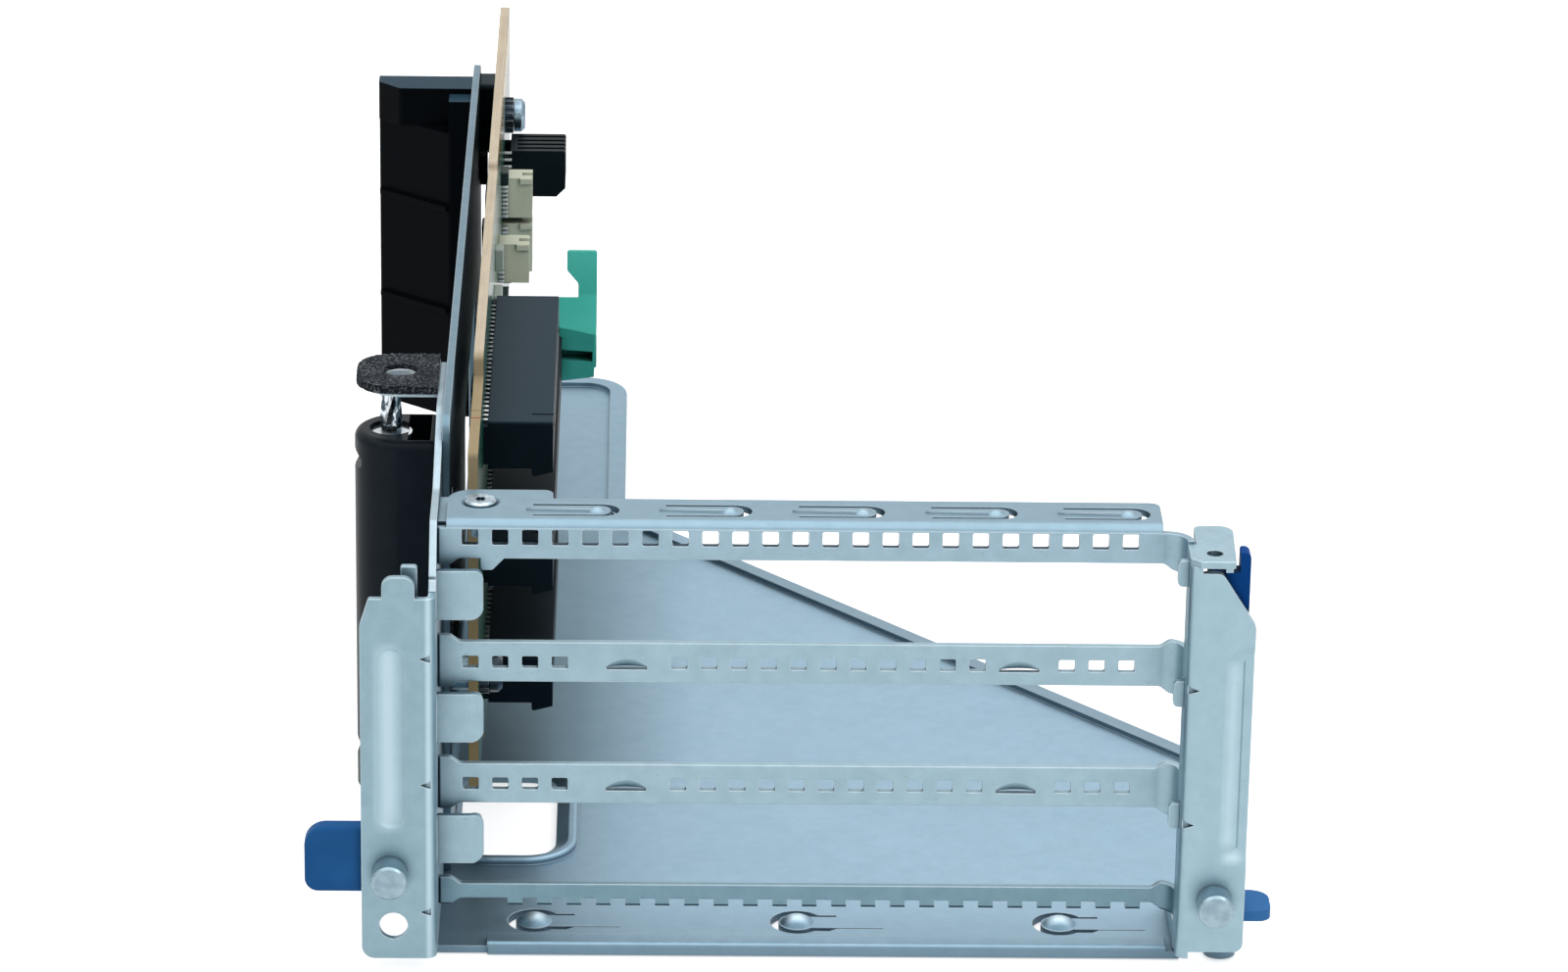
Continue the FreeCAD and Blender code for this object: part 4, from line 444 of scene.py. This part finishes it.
holes = add(tree, "ShaderNodeTexVoronoi", Scale=via_count_per_metre)
tree.links.new(flat.outputs["Vector"], holes.inputs["Vector"])
rings = worked(tree, "LESS_THAN", holes.outputs["Distance"], via_ring_share)
bores = worked(tree, "LESS_THAN", holes.outputs["Distance"], via_bore_share)
lacquer = blended(tree, worked(tree, "MULTIPLY", tracks, 0.8), paint(16, 62, 48), paint(34, 92, 70))
lacquer = blended(tree, object_noise(tree, 60, 3), lacquer, paint(20, 70, 56))
lacquer = blended(tree, rings, lacquer, paint(150, 158, 132))
lacquer = blended(tree, bores, lacquer, paint(18, 26, 22))
tree.links.new(blended(tree, face, edge, lacquer), shader.inputs["Base Color"])
tree.links.new(ranged(tree, face, 0, 1, 0.7, 0.22), shader.inputs["Roughness"])
shader.inputs["IOR"].default_value = 1.35
relief(tree, shader, worked(tree, "ADD", tracks, rings), 0.2, 0.0001)
dress(material, "riser_board")


# The foam pad lies on the tab of the left wall: conductive foam wrapped in woven cloth, cut round at
# its free end, with a hole for the screwdriver. It is soft, so it stands in for the plain CAD pad.
def block(place, size):
    """A new block about a point, with its size in the mesh."""
    bpy.ops.object.select_all(action="DESELECT")
    bpy.ops.mesh.primitive_cube_add(size=1, location=place)
    piece = bpy.context.object
    piece.scale = size
    bpy.ops.object.transform_apply(location=False, rotation=False, scale=True)
    return piece


def pick(piece, kind, wanted):
    """Edit mode, with the edges or faces selected whose middle and direction fit a rule."""
    bpy.ops.object.mode_set(mode="EDIT")
    bpy.ops.mesh.select_mode(type=kind)
    bpy.ops.mesh.select_all(action="DESELECT")
    bpy.ops.object.mode_set(mode="OBJECT")
    mesh = piece.data
    if kind == "FACE":
        for face in mesh.polygons:
            face.select = wanted(face.center, face.normal)
    else:
        for edge in mesh.edges:
            start, end = (mesh.vertices[index].co for index in edge.vertices)
            edge.select = wanted((start + end) / 2, (end - start).normalized())
    bpy.ops.object.mode_set(mode="EDIT")


def modify(piece, kind, **settings):
    """A modifier put on a piece and applied."""
    modifier = piece.modifiers.new(kind, kind)
    for title, value in settings.items():
        setattr(modifier, title, value)
    bpy.context.view_layer.objects.active = piece
    bpy.ops.object.modifier_apply(modifier=modifier.name)


def settle(piece, name, material):
    """A finished piece: named, at the origin, smooth across small bends, dressed and on the cage."""
    piece.name = name
    bpy.ops.object.select_all(action="DESELECT")
    piece.select_set(True)
    bpy.context.view_layer.objects.active = piece
    bpy.ops.object.transform_apply(location=True, rotation=True, scale=True)
    bpy.ops.object.shade_smooth_by_angle(angle=math.radians(35))
    piece.data.materials.clear()
    piece.data.materials.append(material)
    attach(piece, "cage")


low, high = (Vector(corner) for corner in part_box("foam_pad"))
foam_round = 0.0056
foam_overhang = 0.0004
foam_sag = 0.0006
tab_round = 0.0071
tab_depth = 0.002
foam_hole = Vector((*driver_hole, high.z))
foam_hole_radius = 0.00255
pad_low = low - Vector((foam_overhang, foam_overhang, foam_sag))
pad_high = high + Vector((0, foam_overhang, 0))
pad = block((pad_low + pad_high) / 2, pad_high - pad_low)
pick(pad, "EDGE", lambda middle, along: abs(along.z) > 0.9 and middle.x < 0)
bpy.ops.mesh.bevel(offset=foam_round, segments=10, affect="EDGES")
bpy.ops.object.mode_set(mode="OBJECT")
bed_low = Vector((low.x, low.y, low.z - tab_depth))
bed_high = Vector((high.x + tab_depth, high.y, low.z))
bed = block((bed_low + bed_high) / 2, bed_high - bed_low)
pick(bed, "EDGE", lambda middle, along: abs(along.z) > 0.9 and middle.x < 0)
bpy.ops.mesh.bevel(offset=tab_round, segments=10, affect="EDGES")
bpy.ops.object.mode_set(mode="OBJECT")
bpy.ops.mesh.primitive_cylinder_add(vertices=40, radius=foam_hole_radius, depth=0.006, location=foam_hole)
punch = bpy.context.object
for tool in (bed, punch):
    modify(pad, "BOOLEAN", operation="DIFFERENCE", object=tool, solver="EXACT")
    bpy.data.objects.remove(tool)
modify(pad, "REMESH", mode="VOXEL", voxel_size=0.00018)
weave = bpy.data.textures.new("weave", "CLOUDS")
weave.noise_scale = 0.0006
modify(pad, "DISPLACE", texture=weave, strength=0.00025, mid_level=0.75, texture_coords="LOCAL")
material, tree, shader = start_material("foam_cloth")
threads = ranged(tree, object_noise(tree, 2600, 2), 0.5, 0.62, 0, 1)
patches = ranged(tree, object_noise(tree, 300, 2), 0.35, 0.65, 0.3, 0.9)
cloth = blended(tree, worked(tree, "MULTIPLY", threads, patches), paint(24, 28, 33), paint(112, 118, 125))
tree.links.new(cloth, shader.inputs["Base Color"])
shader.inputs["Roughness"].default_value = 0.8
shader.inputs["IOR"].default_value = 1.2
settle(pad, "foam_gasket", material)
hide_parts("foam_pad")


# The edge fingers plug into the mainboard: gold on copper, in two rows on both faces along the board's
# upper edge, with a gap at the key.
def row(piece, step, count):
    """A piece copied along a line at even steps."""
    modify(piece, "ARRAY", use_relative_offset=False, use_constant_offset=True,
           constant_offset_displace=step, count=count)


def together(pieces):
    """Several pieces joined into the first of them."""
    bpy.ops.object.select_all(action="DESELECT")
    for piece in pieces:
        piece.select_set(True)
    bpy.context.view_layer.objects.active = pieces[0]
    bpy.ops.object.join()
    return pieces[0]


finger_size = Vector((0.00006, 0.0007, 0.0052))
finger_pitch = 0.001
finger_rows = ((0.0344, 11), (0.0472, 62))
finger_height = 0.0776
material, tree, shader = start_material("finger_gold")
rub = ranged(tree, object_noise(tree, 900, 3), 0.3, 0.7, 0, 1)
tree.links.new(blended(tree, rub, paint(212, 180, 108), paint(180, 146, 80)), shader.inputs["Base Color"])
shader.inputs["Metallic"].default_value = 0.9
shader.inputs["Roughness"].default_value = 0.14
for side, name in ((board_low[0], "edge_fingers_back"), (board_high[0], "edge_fingers_front")):
    strips = []
    for start, count in finger_rows:
        strip = block((side, start, finger_height), finger_size)
        pick(strip, "EDGE", lambda middle, along: abs(along.x) > 0.9)
        bpy.ops.mesh.bevel(offset=0.0002, segments=2, affect="EDGES")
        bpy.ops.object.mode_set(mode="OBJECT")
        row(strip, (0, finger_pitch, 0), count)
        strips.append(strip)
    settle(together(strips), name, material)


# Each slot connector holds two rows of sprung contacts inside its slot, gilded at the mouth, and stands
# on short tinned tails in the gap over the board; their soldered ends show on the board's back.
def strip_piece(start, moves, width, thickness):
    """A thin strip, bent along a path in the XZ plane, with its width along Y."""
    bpy.ops.object.select_all(action="DESELECT")
    bpy.ops.mesh.primitive_plane_add(size=1, location=start)
    piece = bpy.context.object
    piece.scale = (moves[0].length, width, 1)
    bpy.ops.object.transform_apply(location=False, rotation=False, scale=True)
    pick(piece, "EDGE", lambda middle, along: abs(along.y) > 0.9 and middle.x > 0)
    for move in moves[1:]:
        bpy.ops.mesh.extrude_region_move(TRANSFORM_OT_translate={"value": move})
    bpy.ops.object.mode_set(mode="OBJECT")
    modify(piece, "SOLIDIFY", thickness=thickness, offset=0)
    return piece


slot_half = 0.00095
housing_half = 0.004
contact_pitch = 0.001
contact_margin = 0.0022
contact_depth = 0.0062
contact_gap = 0.00022
contact_width = 0.0005
contact_thickness = 0.00012
contact_path = ((0.0035, 0), (0.0022, -0.0003), (0.0009, 0.0003))
tail_pitch = 0.002
tail_length = 0.0007
tail_inset = 0.0004
tail_width = 0.0006
tail_thickness = 0.0003
tail_path = ((tail_length, 0), (0.0002, -0.0004))
solder_length = 0.0008
solder_row = 0.0026
connector_lengths = {"top": 0.0606, "middle": 0.0966, "bottom": 0.0606}
# Painted shade: the tin of the tails and contacts is dark, with pale mottling standing for shadow and
# glints. Painted highlight: it is pale at the connectors' front ends. The gold at the slots' mouths is its
# own colour.
tail_steel = plated("tail_tin", paint(112, 120, 122), paint(40, 46, 48), 0.4, 420, 0.0003)
front_tails = (0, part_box("slot_connector_top")[0][1], 0)
slot_mouths = (board_high[0] + 0.0085, 0, 0)
toned(tail_steel, paint(240, 245, 246), (front_tails, (throughout, 0.008, throughout), 0.004, 0.9))
toned(tail_steel, paint(206, 172, 100), (slot_mouths, (0.006, throughout, throughout), 0.0005, 0.9))
for title, length in connector_lengths.items():
    low, high = (Vector(corner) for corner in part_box("slot_connector_" + title))
    level = high.z - housing_half
    count = int((length - 2 * contact_margin) / contact_pitch)
    first = low.y + contact_margin
    strips = []
    for way in (1, -1):
        start = Vector((high.x - contact_depth, first, level + way * (slot_half - contact_gap)))
        path = [Vector((along, 0, way * bow)) for along, bow in contact_path]
        contact = strip_piece(start, path, contact_width, contact_thickness)
        row(contact, (0, contact_pitch, 0), count)
        tail_level = level + way * (housing_half - tail_inset)
        start = Vector((board_high[0] + tail_length / 2, first, tail_level))
        path = [Vector((along, 0, way * bow)) for along, bow in tail_path]
        tail = strip_piece(start, path, tail_width, tail_thickness)
        row(tail, (0, tail_pitch, 0), count // 2)
        bpy.ops.mesh.primitive_cone_add(vertices=6, radius1=0.00035, radius2=0.00015, depth=solder_length)
        end = bpy.context.object
        end.rotation_euler = (0, -math.pi / 2, 0)
        end.location = (board_low[0] - solder_length / 2, first, level + way * solder_row)
        modify(end, "BEVEL", width=0.00006, segments=1)
        bpy.ops.object.transform_apply(location=True, rotation=True, scale=True)
        row(end, (0, contact_pitch, 0), count)
        strips += [contact, tail, end]
    settle(together(strips), "contacts_" + title, tail_steel)


# The signal sockets and the power header are soldered to the board by a row of tinned leads, bent down
# from their housings to its face.
def leads(name, foot, reach, pitch, count):
    """A row of bent leads up from a point on the board's face."""
    path = (Vector((reach, 0, 0)), lead_toe)
    piece = strip_piece(foot + Vector((reach / 2, 0, 0)), path, lead_width, lead_thickness)
    row(piece, (0, pitch, 0), count)
    piece.rotation_euler = (math.pi / 2, 0, 0)
    settle(piece, name, lead_tin)


lead_tin = plated("lead_tin", paint(240, 245, 246), paint(200, 208, 212), 0.2, 900, 0.0003)
lead_tin.node_tree.nodes["Principled BSDF"].inputs["Metallic"].default_value = 0.3
lead_toe = Vector((0.0001, 0, -0.0005))
lead_width = 0.00045
lead_thickness = 0.0002
lead_gap = 0.0003
socket_lead_start = 0.0005
socket_lead_reach = 0.0008
socket_lead_pitch = 0.00078
header_lead_drop = 0.0042
header_lead_reach = 0.0012
header_lead_pitch = 0.0013
header_lead_count = 4
for number in (1, 2, 3):
    low, high = (Vector(corner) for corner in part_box("signal_socket_%d" % number))
    foot = Vector((board_high[0], low.y - lead_gap, low.z + socket_lead_start))
    count = int((high.z - low.z) / socket_lead_pitch)
    leads("socket_leads_%d" % number, foot, socket_lead_reach, socket_lead_pitch, count)
low, high = (Vector(corner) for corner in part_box("power_header"))
foot = Vector((board_high[0], low.y - lead_gap, high.z - header_lead_drop))
leads("header_leads", foot, header_lead_reach, header_lead_pitch, header_lead_count)

# The chips on the board's back are flat black packages with rows of tinned leads along two sides. They
# are thinner than the plain CAD blocks, which they stand in for.
chip_places = (
    (-0.0558, 0.060, 0.007, 0.009), (-0.0338, 0.066, 0.010, 0.007), (-0.0118, 0.058, 0.008, 0.012),
    (0.0102, 0.064, 0.006, 0.010), (0.0322, 0.060, 0.009, 0.012),
)
chip_rise = 0.0007
chip_dome = 0.00008
chip_lead_rise = 0.0003
chip_lead_reach = 0.0009
chip_lead_width = 0.0004
chip_lead_pitch = 0.0008
chips, chip_leads = [], []
for y, z, length, height in chip_places:
    middle = Vector((board_low[0] - chip_rise / 2, y + length / 2, z + height / 2))
    chip = block(middle, (chip_rise, length - 2 * chip_lead_reach, height))
    pick(chip, "FACE", lambda middle, normal: normal.x < -0.9)
    bpy.ops.mesh.inset(thickness=0.0002)
    bpy.ops.transform.translate(value=(-chip_dome, 0, 0))
    bpy.ops.object.mode_set(mode="OBJECT")
    chips.append(chip)
    for side in (y + chip_lead_reach / 2, y + length - chip_lead_reach / 2):
        foot = (board_low[0] - chip_lead_rise / 2, side, z + chip_lead_pitch / 2)
        lead = block(foot, (chip_lead_rise, chip_lead_reach, chip_lead_width))
        pick(lead, "EDGE", lambda middle, along: middle.x < 0 and abs(along.z) > 0.9)
        bpy.ops.mesh.bevel(offset=0.0001, segments=1, affect="EDGES")
        bpy.ops.object.mode_set(mode="OBJECT")
        row(lead, (0, 0, chip_lead_pitch), int(height / chip_lead_pitch))
        chip_leads.append(lead)
chip_black = moulded("chip_black", paint(26, 30, 34), paint(16, 19, 22), 0.45, 1.25, 0.1)
back_chips = together(chips)
settle(back_chips, "back_chips", chip_black)
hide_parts("back_components")
settle(together(chip_leads), "back_chip_leads", lead_tin)

# The lock washers under the board screws are blackened spring steel with teeth round their rims, and
# bite into the board as the screws are driven.
washer_places = ((0.0882, 0.0688), front_screw, (0.0622, 0.030))
washer_radius = 0.0029
washer_bore = 0.0016
washer_thickness = 0.0014
tooth_height = 0.0004
tooth_steps = 28
tooth_turn = 2 * math.pi / tooth_steps
washers = []
for y, z in washer_places:
    bpy.ops.object.select_all(action="DESELECT")
    bpy.ops.mesh.primitive_cylinder_add(vertices=tooth_steps, radius=washer_radius, depth=washer_thickness,
                                        rotation=(0, math.pi / 2, 0),
                                        location=(board_high[0] + washer_thickness / 2, y, z))
    washer = bpy.context.object
    bpy.ops.object.transform_apply(location=False, rotation=True, scale=True)
    pick(washer, "FACE", lambda middle, normal: abs(normal.x) > 0.9)
    bpy.ops.mesh.inset(thickness=washer_radius - washer_bore, use_individual=True)
    bpy.ops.mesh.bridge_edge_loops()
    bpy.ops.object.mode_set(mode="OBJECT")
    pick(washer, "FACE", lambda middle, normal: middle.yz.length > (washer_radius + washer_bore) / 2
         and abs(normal.x) < 0.1 and math.floor(math.atan2(middle.z, middle.y) / tooth_turn) % 2 == 0)
    bpy.ops.mesh.extrude_faces_move(TRANSFORM_OT_shrink_fatten={"value": tooth_height})
    bpy.ops.object.mode_set(mode="OBJECT")
    washers.append(washer)
lock_washers = together(washers)
settle(lock_washers, "lock_washers",
       plated("washer_dark", paint(58, 68, 80), paint(30, 38, 48), 0.35, 900))
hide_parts("board_washers")

# The power header has four square tinned pins in its mouth, pointed at their ends and pressed into the
# back of its housing.
low, high = (Vector(corner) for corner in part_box("power_header"))
cell_wall = 0.0012
pin_count = 4
pin_pitch = (high.y - low.y - cell_wall) / pin_count
pin_size = Vector((0.0085, 0.0008, 0.0008))
pin_point = 0.0004
pin_setback = 0.0052
first_pin = low.y + cell_wall + (pin_pitch - cell_wall) / 2
pins = block((high.x - pin_setback, first_pin, (low.z + high.z) / 2), pin_size)
pick(pins, "FACE", lambda middle, normal: normal.x > 0.9)
bpy.ops.mesh.inset(thickness=0.0002)
bpy.ops.transform.translate(value=(pin_point, 0, 0))
bpy.ops.object.mode_set(mode="OBJECT")
row(pins, (0, pin_pitch, 0), pin_count)
settle(pins, "header_pins", lead_tin)

# The floor is a plain white sweep, matt, on which the part leaves a faint shadow. It looks brighter to the
# camera and in mirrors than the light that it gives back.
camera_glow = 0.65
mirror_glow = 0.5
bpy.ops.object.select_all(action="DESELECT")
bpy.ops.mesh.primitive_plane_add(size=12, location=(0, 0, -0.0003))
floor = bpy.context.object
floor.name = "floor"
material, tree, shader = start_material("floor_white")
shader.inputs["Base Color"].default_value = (0.8, 0.8, 0.8, 1)
shader.inputs["Roughness"].default_value = 1
rays = add(tree, "ShaderNodeLightPath")
shader.inputs["Emission Color"].default_value = (1, 1, 1, 1)
seen = worked(tree, "MULTIPLY", rays.outputs["Is Camera Ray"], camera_glow)
seen = worked(tree, "MAXIMUM", seen, worked(tree, "MULTIPLY", rays.outputs["Is Glossy Ray"], mirror_glow))
tree.links.new(seen, shader.inputs["Emission Strength"])
floor.data.materials.append(material)

# The room is a white studio, bright to the camera and in mirrors and dim as a light. One broad soft box
# hangs overhead and two small ones stand in front.
room_light = 0.2
world = bpy.data.worlds.new("studio")
bpy.context.scene.world = world
world.use_nodes = True
tree = world.node_tree
sky = tree.nodes["Background"]
rays = add(tree, "ShaderNodeLightPath")
seen = worked(tree, "MAXIMUM", rays.outputs["Is Camera Ray"], rays.outputs["Is Glossy Ray"])
seen = worked(tree, "MAXIMUM", seen, rays.outputs["Is Transmission Ray"])
tree.links.new(ranged(tree, seen, 0, 1, room_light, 1), sky.inputs["Strength"])
sky.inputs["Color"].default_value = (1, 1, 1, 1)


def soft_box(name, place, aim, size, power):
    """A square soft box aimed at a point."""
    light = bpy.data.lights.new(name, "AREA")
    light.size = size
    light.energy = power
    lamp = bpy.data.objects.new(name, light)
    bpy.context.scene.collection.objects.link(lamp)
    lamp.location = place
    lamp.rotation_euler = (Vector(aim) - Vector(place)).to_track_quat("-Z", "Y").to_euler()


soft_box("overhead", (0.05, -0.05, 1.2), (0, 0, 0), 2.4, 22)
soft_box("front_left", (-0.9, -0.9, 0.9), (0, 0, 0.03), 0.7, 1)
soft_box("front_right", (0.9, -0.9, 0.9), (0, 0, 0.03), 0.7, 3)

# The camera stands where the photograph was taken: far off, a little above and with a slight roll. It was
# fitted to the rails, posts and plate edges.
camera_place = Vector((-0.022583, -1.041527, 0.435317))
camera_pitch = math.radians(21.201)
camera_yaw = math.radians(1.3005)
camera_roll = math.radians(0.925)
lens_millimetres = 149.857
ahead = Vector((math.sin(camera_yaw) * math.cos(camera_pitch),
                math.cos(camera_yaw) * math.cos(camera_pitch),
                -math.sin(camera_pitch)))
level = ahead.cross(Vector((0, 0, 1))).normalized()
upright = level.cross(ahead)
across = level * math.cos(camera_roll) + upright * math.sin(camera_roll)
over = upright * math.cos(camera_roll) - level * math.sin(camera_roll)
camera = bpy.data.objects.new("camera", bpy.data.cameras.new("camera"))
bpy.context.scene.collection.objects.link(camera)
turn = Matrix((across, over, -ahead)).transposed().to_4x4()
camera.matrix_world = Matrix.Translation(camera_place) @ turn
camera.data.lens = lens_millimetres
camera.data.sensor_width = 36
bpy.context.scene.camera = camera
bpy.context.scene.view_settings.view_transform = "Standard"
